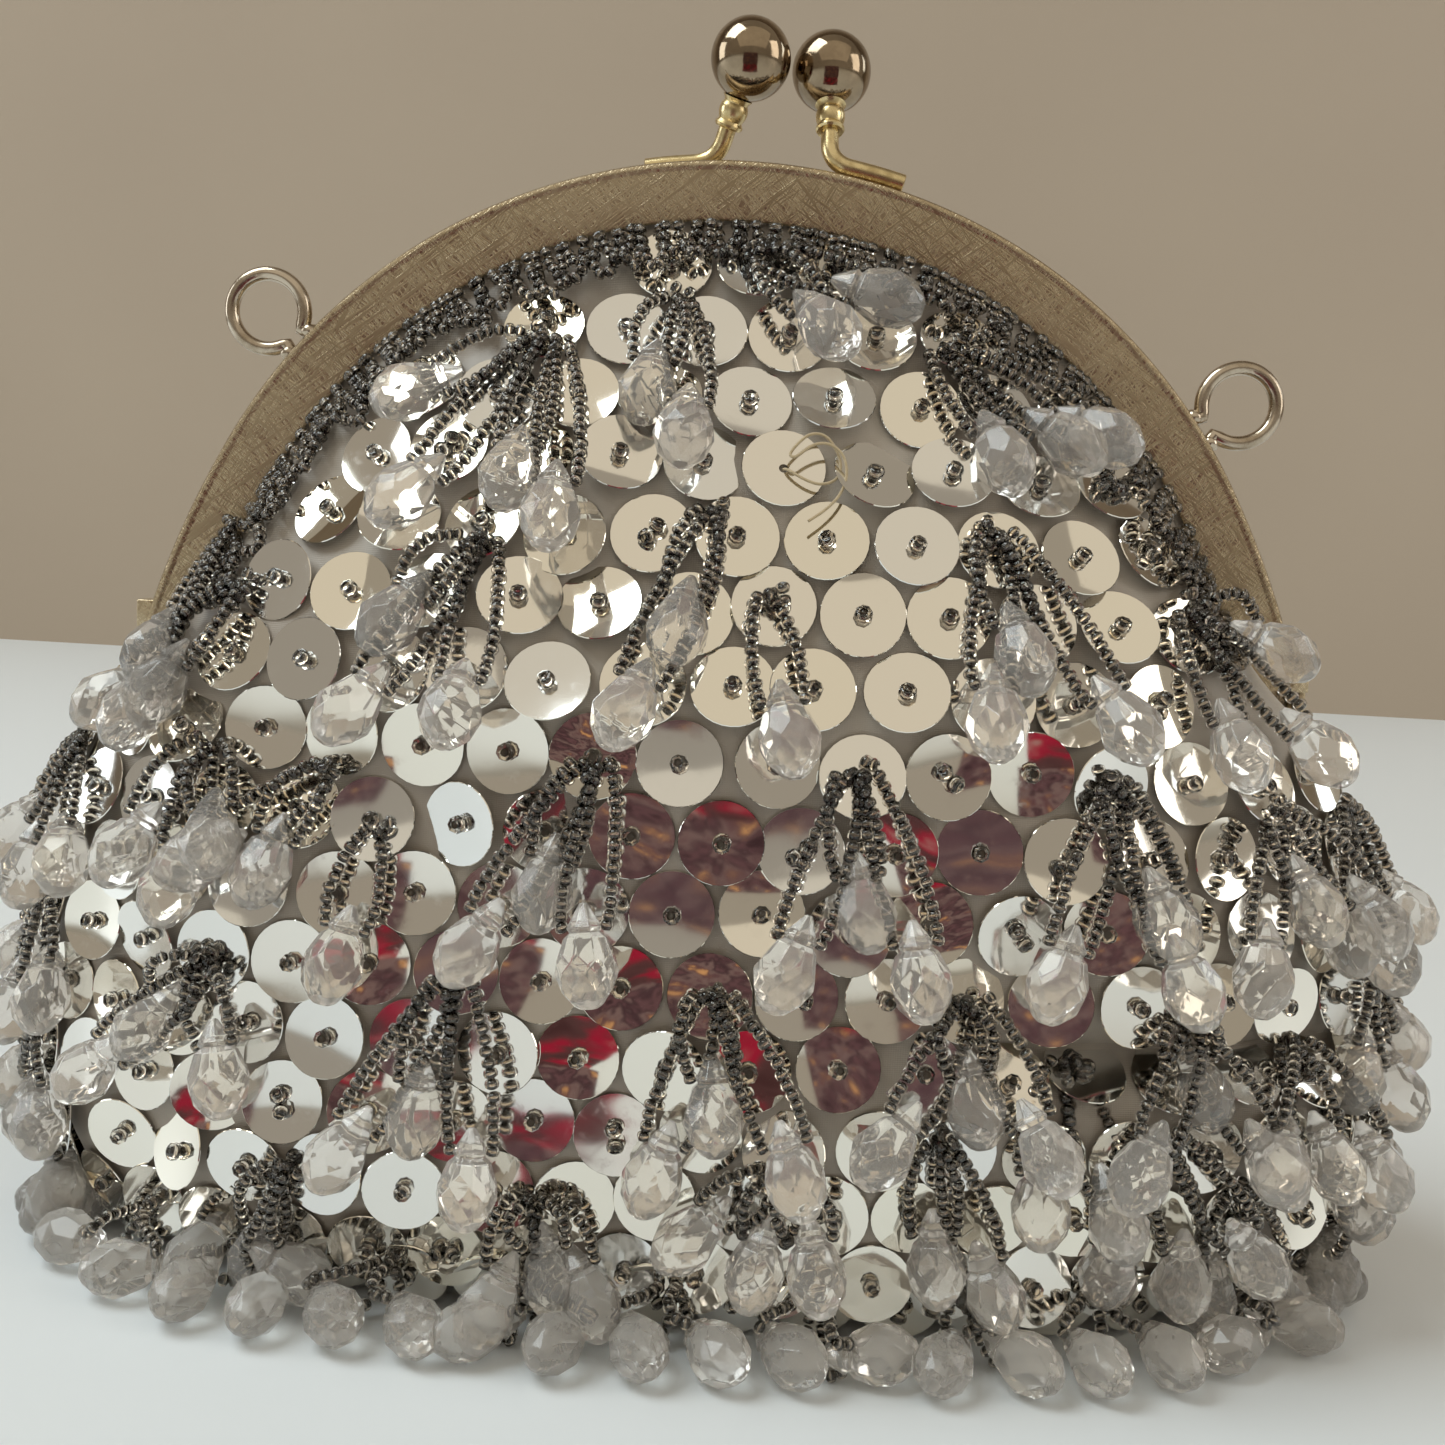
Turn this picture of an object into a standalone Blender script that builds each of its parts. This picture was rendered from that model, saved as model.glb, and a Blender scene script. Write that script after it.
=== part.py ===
"""Kiss-lock evening bag: a hinged two-rail metal frame, a fabric pouch with its lining,
two soldered chain rings and glass bead tassels.

Metres, +Z up, front of the bag towards -Y. The origin is the bottom centre of the bag.
The frame rails turn about the X axis through (0, 0, HINGE_Z).
"""
import math

import bmesh
import bpy
from mathutils import Vector

MM = 0.001
GAP = 0.3 * MM                    # clearance between touching pieces

# Frame outline in the XZ plane: a crown arc, then flatter legs down to the hinges
HINGE_Z = 76.0 * MM
CROWN_RADIUS = 72.5 * MM
CROWN_ANGLE = 60.0                # degrees each side of the top
LEG_RADIUS = 120.0 * MM
FRAME_TOP_Z = 141.0 * MM
RAIL_END_ANGLE = 72.4             # degrees from the top where the channel stops

# Rail section: a channel that opens towards the inside of the arch
RAIL_WIDTH = 7.2 * MM
RAIL_DEPTH = 4.4 * MM
RAIL_WALL = 0.7 * MM
RAIL_SPACING = 0.4 * MM           # between the two closed rails
RAIL_Y = (RAIL_SPACING + RAIL_DEPTH) / 2
ARCH_STEPS = 28

# Hinge ears, one pair at each end, pinned along X
EAR_RADIUS = 3.4 * MM
EAR_THICKNESS = 0.8 * MM
FRONT_EAR_X = 74.1 * MM
REAR_EAR_X = 72.9 * MM
EAR_CLEARANCE = 4.0 * MM          # nothing but the ears comes nearer to the pin
WEB_TOP = 7.5 * MM                # above the hinge axis
WEB_INNER_X = 71.4 * MM
WEB_INWARD = 1.5 * MM             # from the middle of the rail towards the joint
WEB_OUTWARD = 1.8 * MM
STRAP_NEAR_Y = 0.9 * MM
STRAP_OVERLAP = 1.0 * MM          # strap let into the web
PIN_RADIUS = 1.0 * MM
PIN_HEAD_RADIUS = 1.9 * MM
PIN_HEAD_THICKNESS = 0.7 * MM
PIN_HEAD_BEVEL = 0.35 * MM

# Kiss lock
BALL_RADIUS = 4.9 * MM
BALL_Z = 153.5 * MM
BALL_OFFSET_Y = 1.8 * MM          # the closed balls have crossed over the joint line
REAR_BALL_X = 0.1 * MM
FRONT_BALL_X = 10.1 * MM
STEM_RADIUS = 1.1 * MM
REAR_FOOT_X = (-12.5 * MM, -6.8 * MM, -3.7 * MM)    # free end, start and corner of its bend
FRONT_FOOT_X = (19.6 * MM, 13.4 * MM, 10.4 * MM)
COLLAR_RADIUS = 1.75 * MM
COLLAR_HEIGHT = 3.2 * MM

# Chain rings, soldered to the outer edge of the front rail
RING_RADIUS = 4.6 * MM            # to the middle of the wire
RING_WIRE = 0.9 * MM
LEFT_RING_ANGLE = -48.5           # degrees from the top
RIGHT_RING_ANGLE = 53.5

# Lower pouch
POUCH_RIM_Z = 71.0 * MM
POUCH_WIDEST_Z = 30.0 * MM
POUCH_HALF_WIDTH = 85.5 * MM
POUCH_RIM_HALF_WIDTH = 77.5 * MM
POUCH_BASE_HALF_WIDTH = 64.0 * MM
POUCH_HALF_DEPTH = 26.5 * MM
POUCH_RIM_HALF_DEPTH = 25.8 * MM
POUCH_BASE_HALF_DEPTH = 15.0 * MM
POUCH_SECTION_POWER = 2.3         # superellipse of each level
POUCH_CORNER_POWER = 2.4          # rounding into the base
FABRIC = 0.7 * MM
LINING = 0.5 * MM
LINING_INSET = 1.3 * MM
BASE_EXTRA_INSET = 1.6            # the lining rounds in sooner near the base
POUCH_COLUMNS = 28

# Yokes: the upper pouch fabric, held by the rails
YOKE_BOTTOM_Z = HINGE_Z + GAP
YOKE_DEPTH = 23.2 * MM
YOKE_HALF_WIDTH = 66.0 * MM
YOKE_TUCK = 3.6 * MM              # how deep the top edge sits below the rail's outer edge
YOKE_EDGE = 8.0 * MM              # where the fabric leaves the channel
YOKE_TOP_Y = 3.2 * MM
YOKE_LINING_TOP_Y = 1.9 * MM
YOKE_LINING_INSET = 1.3 * MM
YOKE_END_ANGLE = 69.0
YOKE_COLUMNS = 21

PIPING_RADIUS = 1.1 * MM
PIPING_END_ANGLE = 69.8
TRIM_END_ANGLE = 67.0
TRIM_RADIUS = 1.6 * MM
TRIM_INSET = 10.0 * MM
TRIM_TILT = 1.55                  # the cloth slopes under the trim, so it stands off further

# Tassels: three glass drops on looped strands of seed beads
DROP_LENGTH = 10.5 * MM
DROP_RADIUS = 2.7 * MM
STRAND_RADIUS = 0.9 * MM
TASSEL_LENGTH = 25.5 * MM         # outer strand and drop together
MIDDLE_STRAND_SHARE = 0.72        # the middle drop rides above the outer two
TASSEL_SPREAD = 0.36              # sideways lean of the outer drops, per unit of length
TASSEL_STAND_OFF = 4.6 * MM       # from the fabric to the middle of a drop
ANCHOR_STAND_OFF = 1.9 * MM
TABLE_DROP_Z = 3.4 * MM           # the lowest drops lie on the table

# Tassel rows: name, anchor height, places along X; the rows follow the sequin lattice,
# three sequins apart and staggered by half a step
YOKE_ROW = ("a", 122.5 * MM, (-24.0 * MM, 0.0, 24.0 * MM))
POUCH_ROWS = (
    ("c", 68.5 * MM, (-42.0 * MM, -12.4 * MM, 17.2 * MM, 46.8 * MM)),
    ("d", 43.5 * MM, (-57.0 * MM, -27.4 * MM, 2.2 * MM, 31.8 * MM, 60.0 * MM)),
    ("e", 18.5 * MM, (-47.0 * MM, -17.4 * MM, 12.2 * MM, 41.8 * MM)),
)
SIDE_ROW_Z = 52.0 * MM


# ---------------------------------------------------------------- scene set-up

def fresh_collection(name):
    collection = bpy.data.collections.new(name)
    bpy.context.scene.collection.children.link(collection)
    return collection


for old in list(bpy.data.objects):
    bpy.data.objects.remove(old, do_unlink=True)
PARTS = fresh_collection("evening_bag")
CUTTERS = fresh_collection("cutters")


def material(name, colour, roughness, metallic=0.0, transmission=0.0):
    made = bpy.data.materials.new(name)
    made.use_nodes = True
    shader = made.node_tree.nodes["Principled BSDF"]
    shader.inputs["Base Color"].default_value = (*colour, 1.0)
    shader.inputs["Roughness"].default_value = roughness
    shader.inputs["Metallic"].default_value = metallic
    shader.inputs["Transmission Weight"].default_value = transmission
    made.diffuse_color = (*colour, 1.0)
    return made


CHAMPAGNE = material("champagne_gold_plate", (0.62, 0.50, 0.33), 0.30, 1.0)
NICKEL = material("polished_nickel", (0.72, 0.68, 0.60), 0.08, 1.0)
BRASS = material("worn_brass", (0.66, 0.50, 0.22), 0.28, 1.0)
STEEL = material("polished_steel", (0.66, 0.62, 0.54), 0.12, 1.0)
SATIN = material("silver_grey_satin", (0.42, 0.37, 0.31), 0.55)
LINING_CLOTH = material("ivory_lining", (0.62, 0.56, 0.47), 0.65)
PAPER_CORD = material("paper_cord", (0.55, 0.47, 0.35), 0.85)
SEED_BEADS = material("silver_lined_seed_beads", (0.75, 0.72, 0.66), 0.15, 0.6)
CRYSTAL = material("clear_glass", (0.92, 0.92, 0.92), 0.05, 0.0, 0.9)


def add_object(name, data, surface=None):
    obj = bpy.data.objects.new(name, data)
    if surface is None:
        CUTTERS.objects.link(obj)
        obj.hide_render = True
        obj.display_type = 'WIRE'
    else:
        PARTS.objects.link(obj)
        data.materials.clear()
        data.materials.append(surface)
    return obj


def boolean(obj, other, operation):
    step = obj.modifiers.new(other.name, 'BOOLEAN')
    step.operation = operation
    step.object = other


# ------------------------------------------------------------- shape helpers

def box_mesh(low, high):
    mesh = bpy.data.meshes.new("box")
    shape = bmesh.new()
    bmesh.ops.create_cube(shape, size=1.0)
    for vert in shape.verts:
        vert.co = [low[i] + (vert.co[i] + 0.5) * (high[i] - low[i]) for i in range(3)]
    shape.to_mesh(mesh)
    shape.free()
    return mesh


def rod_mesh(radius, length, segments):
    """A cylinder along X, centred on its own origin."""
    mesh = bpy.data.meshes.new("rod")
    shape = bmesh.new()
    bmesh.ops.create_cone(shape, cap_ends=True, segments=segments,
                          radius1=radius, radius2=radius, depth=length)
    for vert in shape.verts:
        vert.co = (vert.co.z, vert.co.y, -vert.co.x)
    shape.to_mesh(mesh)
    shape.free()
    return mesh


def tube(name, points, radius, surface, cyclic=False):
    """A round wire or cord along the points, with filled ends."""
    curve = bpy.data.curves.new(name, 'CURVE')
    curve.dimensions = '3D'
    curve.bevel_depth = radius
    curve.bevel_resolution = 2
    curve.use_fill_caps = not cyclic
    spline = curve.splines.new('POLY')
    spline.points.add(len(points) - 1)
    for point, place in zip(spline.points, points):
        point.co = (*place, 1.0)
    spline.use_cyclic_u = cyclic
    return add_object(name, curve, surface)


def flat_outline(name, outline, thickness, y, surface):
    """A plate with the given XZ outline, made a mesh so that it can be cut."""
    curve = bpy.data.curves.new(name, 'CURVE')
    curve.dimensions = '2D'
    curve.fill_mode = 'BOTH'
    curve.extrude = thickness / 2
    spline = curve.splines.new('POLY')
    spline.points.add(len(outline) - 1)
    for point, (x, z) in zip(spline.points, outline):
        point.co = (x, z, 0.0, 1.0)
    spline.use_cyclic_u = True
    drawn = bpy.data.objects.new(name + "_outline", curve)
    drawn.rotation_euler = (math.pi / 2, 0.0, 0.0)
    drawn.location = (0.0, y, 0.0)
    CUTTERS.objects.link(drawn)
    bpy.context.view_layer.update()
    mesh = bpy.data.meshes.new_from_object(
        drawn.evaluated_get(bpy.context.evaluated_depsgraph_get()))
    weld = bmesh.new()
    weld.from_mesh(mesh)
    bmesh.ops.remove_doubles(weld, verts=weld.verts, dist=0.001 * MM)
    weld.to_mesh(mesh)
    weld.free()
    plate = add_object(name, mesh, surface)
    plate.matrix_world = drawn.matrix_world
    bpy.data.objects.remove(drawn, do_unlink=True)
    return plate


def turned(name, profile, steps, surface, closed=False):
    """A solid of revolution about local Z; the profile runs top to bottom at +X."""
    count = len(profile)
    edges = [(i, i + 1) for i in range(count - 1)]
    if closed:
        edges.append((count - 1, 0))
    mesh = bpy.data.meshes.new(name)
    mesh.from_pydata([(radius, 0.0, height) for radius, height in profile], edges, [])
    obj = add_object(name, mesh, surface)
    screw = obj.modifiers.new("turn", 'SCREW')
    screw.axis = 'Z'
    screw.steps = steps
    screw.render_steps = steps
    screw.use_merge_vertices = True
    screw.merge_threshold = 0.00001
    screw.use_smooth_shade = True
    return obj


def skin_of_cloth(name, rows, thickness, surface, wrap, base=False):
    """A cloth sheet through rows of points, given its thickness by Solidify.

    With wrap, each row closes on itself; with base, the first row is filled.
    """
    mesh = bpy.data.meshes.new(name)
    shape = bmesh.new()
    grid = [[shape.verts.new(point) for point in row] for row in rows]
    columns = len(rows[0])
    for lower, upper in zip(grid, grid[1:]):
        for i in range(columns if wrap else columns - 1):
            j = (i + 1) % columns
            shape.faces.new((lower[i], lower[j], upper[j], upper[i]))
    if base:
        shape.faces.new(list(reversed(grid[0])))
    for face in shape.faces:
        face.smooth = True
    shape.to_mesh(mesh)
    shape.free()
    mesh.set_sharp_from_angle(angle=math.radians(40))
    obj = add_object(name, mesh, surface)
    solid = obj.modifiers.new("thickness", 'SOLIDIFY')
    solid.thickness = thickness
    solid.offset = -1.0
    return obj


# ------------------------------------------------------------- frame outline

CROWN_CENTRE_Z = FRAME_TOP_Z - CROWN_RADIUS
LEG_SHIFT = LEG_RADIUS - CROWN_RADIUS
LEG_CENTRE_X = LEG_SHIFT * math.sin(math.radians(CROWN_ANGLE))
LEG_CENTRE_Z = CROWN_CENTRE_Z - LEG_SHIFT * math.cos(math.radians(CROWN_ANGLE))


def frame_point(angle, inset):
    """(x, z) on the arch, at an angle in degrees from the top, inset from its outer edge."""
    turn = math.radians(abs(angle))
    side = math.copysign(1.0, angle)
    if abs(angle) <= CROWN_ANGLE:
        reach = CROWN_RADIUS - inset
        return side * reach * math.sin(turn), CROWN_CENTRE_Z + reach * math.cos(turn)
    reach = LEG_RADIUS - inset
    x = side * (reach * math.sin(turn) - LEG_CENTRE_X)
    return x, LEG_CENTRE_Z + reach * math.cos(turn)


def spread(limit, steps):
    return [limit * (2 * i / steps - 1) for i in range(steps + 1)]


def arch_band(outer_inset, inner_inset, limit):
    angles = spread(limit, ARCH_STEPS)
    outer = [frame_point(a, outer_inset) for a in angles]
    inner = [frame_point(a, inner_inset) for a in reversed(angles)]
    return outer + inner


def arch_height(x, inset):
    """Height of the inset arch above a place along X."""
    x = abs(x)
    crown = CROWN_RADIUS - inset
    if x <= crown * math.sin(math.radians(CROWN_ANGLE)):
        return CROWN_CENTRE_Z + math.sqrt(crown ** 2 - x ** 2)
    leg = LEG_RADIUS - inset
    return LEG_CENTRE_Z + math.sqrt(max(leg ** 2 - (x + LEG_CENTRE_X) ** 2, 0.0))


# ------------------------------------------------------------- frame rails

def hinge_ear(name, side, ear_x, facing):
    """The pieces that carry one rail down to its hinge pin."""
    reach = sorted((facing * (RAIL_Y - WEB_INWARD), facing * (RAIL_Y + WEB_OUTWARD)))
    across = sorted((facing * STRAP_NEAR_Y, facing * EAR_RADIUS))
    inner, outer = ear_x - EAR_THICKNESS / 2, ear_x + EAR_THICKNESS / 2

    def between(x_pair, y_pair, z_pair):
        x_low, x_high = sorted(side * x for x in x_pair)
        return box_mesh((x_low, y_pair[0], z_pair[0]), (x_high, y_pair[1], z_pair[1]))

    disc = add_object(name + "_disc", rod_mesh(EAR_RADIUS, EAR_THICKNESS, 16))
    disc.location = (side * ear_x, 0.0, HINGE_Z)
    web = add_object(name + "_web", between(
        (WEB_INNER_X, outer), reach, (HINGE_Z + EAR_CLEARANCE, HINGE_Z + WEB_TOP)))
    strap = add_object(name + "_strap", between(
        (inner, outer), across, (HINGE_Z, HINGE_Z + EAR_CLEARANCE + STRAP_OVERLAP)))
    return web, strap, disc


def rail(name, facing, ear_x):
    """One frame half; facing is -1 for the front and +1 for the rear."""
    plate = flat_outline(name, arch_band(0.0, RAIL_WIDTH, RAIL_END_ANGLE),
                         RAIL_DEPTH, facing * RAIL_Y, CHAMPAGNE)
    slot = flat_outline(name + "_slot",
                        arch_band(RAIL_WALL, RAIL_WIDTH + 2 * MM, RAIL_END_ANGLE + 3),
                        RAIL_DEPTH - 2 * RAIL_WALL, facing * RAIL_Y, None)
    boolean(plate, slot, 'DIFFERENCE')
    for side, tag in ((-1, "left"), (1, "right")):
        for piece in hinge_ear(f"{name}_{tag}", side, ear_x, facing):
            boolean(plate, piece, 'UNION')
    bore = add_object(name + "_bore", rod_mesh(PIN_RADIUS + GAP, 2 * FRONT_EAR_X + 8 * MM, 16))
    bore.location = (0.0, 0.0, HINGE_Z)
    boolean(plate, bore, 'DIFFERENCE')
    return plate


rail("front_rail", -1, FRONT_EAR_X)
rail("rear_rail", 1, REAR_EAR_X)


def hinge_rivet(name, side):
    outer = FRONT_EAR_X + EAR_THICKNESS / 2 + GAP
    inner = REAR_EAR_X - EAR_THICKNESS / 2 - GAP
    half = (outer - inner) / 2
    head = half + PIN_HEAD_THICKNESS
    profile = [(0.0, head), (PIN_HEAD_RADIUS * 0.7, head),
               (PIN_HEAD_RADIUS, head - PIN_HEAD_BEVEL), (PIN_HEAD_RADIUS, half),
               (PIN_RADIUS, half)]
    profile += [(radius, -height) for radius, height in reversed(profile)]
    pin = turned(name, profile, 12, STEEL)
    pin.rotation_euler = (0.0, math.pi / 2, 0.0)
    pin.location = (side * (outer + inner) / 2, 0.0, HINGE_Z)


hinge_rivet("left_hinge_rivet", -1)
hinge_rivet("right_hinge_rivet", 1)


def arch_tube(name, facing, inset, y, radius, limit, surface):
    points = []
    for angle in spread(limit, ARCH_STEPS - 4):
        x, z = frame_point(angle, inset)
        points.append((x, facing * (y(x, z) if callable(y) else y), z))
    return tube(name, points, radius, surface)


# ------------------------------------------------------------- kiss lock

def ball_and_stem(prefix, facing, ball_x, foot):
    """A polished ball on a bent tube whose foot lies along the top of its rail."""
    foot_y = facing * RAIL_Y
    ball = Vector((ball_x, -facing * BALL_OFFSET_Y, BALL_Z))
    lie = CROWN_RADIUS + STEM_RADIUS + GAP

    def on_rail(x):
        return Vector((x, foot_y, CROWN_CENTRE_Z + math.sqrt(lie ** 2 - x ** 2)))

    bend = on_rail(foot[1])
    corner = on_rail(foot[2])
    up = (ball - corner).normalized()
    top = ball - up * (BALL_RADIUS + GAP)
    rise = corner + (top - corner) * 0.35
    points = [on_rail(foot[0]), on_rail((foot[0] + foot[1]) / 2), bend]
    for i in range(1, 5):
        t = i / 4
        points.append(bend * (1 - t) ** 2 + corner * 2 * t * (1 - t) + rise * t ** 2)
    points.append(top)
    tube(prefix + "_ball_stem", points, STEM_RADIUS, BRASS)

    inside = STEM_RADIUS + GAP
    half = COLLAR_HEIGHT / 2
    profile = [(inside, half), (COLLAR_RADIUS * 0.94, half), (COLLAR_RADIUS, half * 0.5),
               (COLLAR_RADIUS * 0.9, half * 0.2), (COLLAR_RADIUS * 1.08, -half * 0.4),
               (COLLAR_RADIUS * 0.94, -half), (inside, -half)]
    collar = turned(prefix + "_ball_collar", profile, 12, BRASS, closed=True)
    collar.rotation_euler = up.to_track_quat('Z', 'Y').to_euler()
    collar.location = ball - up * (BALL_RADIUS + GAP + half)

    mesh = bpy.data.meshes.new(prefix + "_ball")
    shape = bmesh.new()
    bmesh.ops.create_uvsphere(shape, u_segments=18, v_segments=11, radius=BALL_RADIUS)
    shape.to_mesh(mesh)
    shape.free()
    mesh.shade_smooth()
    add_object(prefix + "_ball", mesh, NICKEL).location = ball


ball_and_stem("rear", 1, REAR_BALL_X, REAR_FOOT_X)
ball_and_stem("front", -1, FRONT_BALL_X, FRONT_FOOT_X)


def chain_ring(name, angle):
    reach = RING_RADIUS + RING_WIRE + GAP
    centre_x, centre_z = frame_point(angle, -reach)
    points = []
    for i in range(20):
        turn = 2 * math.pi * i / 20
        points.append((centre_x + RING_RADIUS * math.cos(turn), -RAIL_Y,
                       centre_z + RING_RADIUS * math.sin(turn)))
    tube(name, points, RING_WIRE, STEEL, cyclic=True)


chain_ring("left_chain_ring", LEFT_RING_ANGLE)
chain_ring("right_chain_ring", RIGHT_RING_ANGLE)


# ------------------------------------------------------------- pouch and lining

def level(z, base, widest, rim):
    """Half-size of the pouch at a height: rounded up from the base, then drawn in."""
    if z < POUCH_WIDEST_Z:
        rise = 1 - (1 - z / POUCH_WIDEST_Z) ** POUCH_CORNER_POWER
        return base + (widest - base) * rise ** (1 / POUCH_CORNER_POWER)
    above = (z - POUCH_WIDEST_Z) / (POUCH_RIM_Z - POUCH_WIDEST_Z)
    return widest - (widest - rim) * above ** 2


def pouch_size(z):
    width = level(z, POUCH_BASE_HALF_WIDTH, POUCH_HALF_WIDTH, POUCH_RIM_HALF_WIDTH)
    depth = level(z, POUCH_BASE_HALF_DEPTH, POUCH_HALF_DEPTH, POUCH_RIM_HALF_DEPTH)
    return width, depth


def superellipse(width, depth, columns):
    power = 2 / POUCH_SECTION_POWER
    ring = []
    for i in range(columns):
        turn = 2 * math.pi * (i + 0.5) / columns
        c, s = math.cos(turn), math.sin(turn)
        ring.append((math.copysign(width * abs(c) ** power, c),
                     math.copysign(depth * abs(s) ** power, s)))
    return ring


def pouch_rows(heights, inset, floor, columns):
    rows = []
    for z in heights:
        width, depth = pouch_size(z)
        inner = inset * (1 + BASE_EXTRA_INSET * max(1 - z / POUCH_WIDEST_Z, 0.0))
        rows.append([(x, y, max(z, floor))
                     for x, y in superellipse(width - inner, depth - inner, columns)])
    return rows


SHELL_HEIGHTS = [h * MM for h in (0.0, 0.8, 3.0, 8.0, 16.0, 30.0, 46.0, 60.0, 71.0)]
skin_of_cloth("pouch_shell", pouch_rows(SHELL_HEIGHTS, 0.0, 0.0, POUCH_COLUMNS),
              FABRIC, SATIN, wrap=True, base=True)
skin_of_cloth("pouch_lining",
              pouch_rows(SHELL_HEIGHTS[1:], LINING_INSET, LINING_INSET, POUCH_COLUMNS),
              LINING, LINING_CLOTH, wrap=True, base=True)


# ------------------------------------------------------------- yokes

def yoke_depth(x, z, inset=0.0, top_y=YOKE_TOP_Y):
    """Distance of the yoke's outer face from the joint plane."""
    share = min(abs(x) / (YOKE_HALF_WIDTH - 2 * inset), 1.0) ** POUCH_SECTION_POWER
    bottom = (YOKE_DEPTH - inset - top_y) * (1 - share) ** (1 / POUCH_SECTION_POWER)
    top_z = arch_height(x, YOKE_EDGE)
    fall = min(max((top_z - z) / (top_z - YOKE_BOTTOM_Z), 0.0), 1.0)
    return top_y + bottom * (1 - (1 - fall) ** 1.1)


def yoke_rows(facing, inset, top_y, columns, falls):
    angles = spread(YOKE_END_ANGLE, columns - 1)
    tucked, edge = [], []
    for angle in angles:
        x, z = frame_point(angle, YOKE_TUCK)
        tucked.append((x, facing * top_y, z))
        x, z = frame_point(angle, YOKE_EDGE)
        edge.append((x, facing * top_y, z))
    rows = [tucked, edge]
    for fall in falls:
        row = []
        for x, _, top_z in edge:
            z = top_z + (YOKE_BOTTOM_Z - top_z) * fall
            row.append((x, facing * yoke_depth(x, z, inset, top_y), z))
        rows.append(row)
    if facing < 0:
        rows.reverse()
    return rows


FALLS = (0.12, 0.35, 0.6, 0.82, 1.0)
for prefix, facing in (("front", -1), ("rear", 1)):
    skin_of_cloth(prefix + "_yoke_shell", yoke_rows(facing, 0.0, YOKE_TOP_Y, YOKE_COLUMNS, FALLS),
                  FABRIC, SATIN, wrap=False)
    skin_of_cloth(prefix + "_yoke_lining",
                  yoke_rows(facing, YOKE_LINING_INSET, YOKE_LINING_TOP_Y, YOKE_COLUMNS, FALLS),
                  LINING, LINING_CLOTH, wrap=False)
    arch_tube(prefix + "_piping_cord", facing, RAIL_WALL + GAP + PIPING_RADIUS, RAIL_Y,
              PIPING_RADIUS, PIPING_END_ANGLE, PAPER_CORD)
    arch_tube(prefix + "_bead_trim", facing, TRIM_INSET,
              lambda x, z: yoke_depth(x, z) + GAP + TRIM_RADIUS * TRIM_TILT,
              TRIM_RADIUS, TRIM_END_ANGLE, SEED_BEADS)


# ------------------------------------------------------------- tassels

def pouch_face(x, z):
    """Distance of the pouch's outer face from the joint plane, hanging free low down."""
    width, depth = pouch_size(max(z, POUCH_WIDEST_Z))
    share = min(abs(x) / width, 1.0) ** POUCH_SECTION_POWER
    return depth * (1 - share) ** (1 / POUCH_SECTION_POWER)


def strand_and_drop(name, start, end, surface):
    """A bead strand with a glass drop on its end, turned about the line between them."""
    length = (start - end).length
    neck = length - DROP_LENGTH
    profile = [(0.0, 0.0), (STRAND_RADIUS * 1.3, -STRAND_RADIUS), (STRAND_RADIUS, -neck),
               (DROP_RADIUS * 0.85, -neck - 0.45 * DROP_LENGTH),
               (DROP_RADIUS, -neck - 0.75 * DROP_LENGTH), (0.0, -length)]
    piece = turned(name, profile, 6, surface)
    piece.rotation_euler = (start - end).to_track_quat('Z', 'Y').to_euler()
    piece.location = start
    return piece


def tassel(name, along, z, place, lowest_z=0.0):
    """Three strands from one anchor, the outer two leaning out sideways.

    place(along, z, out) gives a point at a distance out from the cloth. Strands that
    would reach below lowest_z end there and swing out from the cloth instead.
    """
    anchor = place(along, z, ANCHOR_STAND_OFF)
    middle = None
    for tag, lean in (("middle", 0.0), ("left", -TASSEL_SPREAD), ("right", TASSEL_SPREAD)):
        length = TASSEL_LENGTH * (1.0 if lean else MIDDLE_STRAND_SHARE)
        fall = min(length, z - lowest_z)
        swing = math.sqrt(length ** 2 - fall ** 2)
        out = max(TASSEL_STAND_OFF, ANCHOR_STAND_OFF + swing)
        end = place(along + lean * length, z - fall, out)
        if middle is None:
            middle = strand_and_drop(name, anchor, end, CRYSTAL)
        else:
            start = place(along + lean * MM, z - 0.5 * MM, ANCHOR_STAND_OFF)
            boolean(middle, strand_and_drop(f"{name}_{tag}", start, end, None), 'UNION')


def face_placer(facing, face):
    return lambda x, z, out: Vector((x, facing * (face(x, z) + out), z))


def side_placer(side):
    return lambda y, z, out: Vector((side * (pouch_size(z)[0] + out), y, z))


for prefix, facing in (("front", -1), ("rear", 1)):
    row, anchor_z, places = YOKE_ROW
    for number, x in enumerate(places, 1):
        tassel(f"{prefix}_tassel_{row}{number}", x, anchor_z, face_placer(facing, yoke_depth))
    for row, anchor_z, places in POUCH_ROWS:
        for number, x in enumerate(places, 1):
            tassel(f"{prefix}_tassel_{row}{number}", x, anchor_z,
                   face_placer(facing, pouch_face), TABLE_DROP_Z)
tassel("left_side_tassel", 0.0, SIDE_ROW_Z, side_placer(-1))
tassel("right_side_tassel", 0.0, SIDE_ROW_Z, side_placer(1))
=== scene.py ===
"""Looks of the kiss-lock evening bag: satin sewn with mirror sequins, seed bead tassels with
faceted glass drops, an engraved frame and a ball clasp.

Lengths are in millimetres until a mesh is made, which turns them into metres.
+Z is up and the front of the bag faces -Y.
"""
import math

import bmesh
import bpy
import numpy as np
from mathutils import Matrix, Vector


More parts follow.
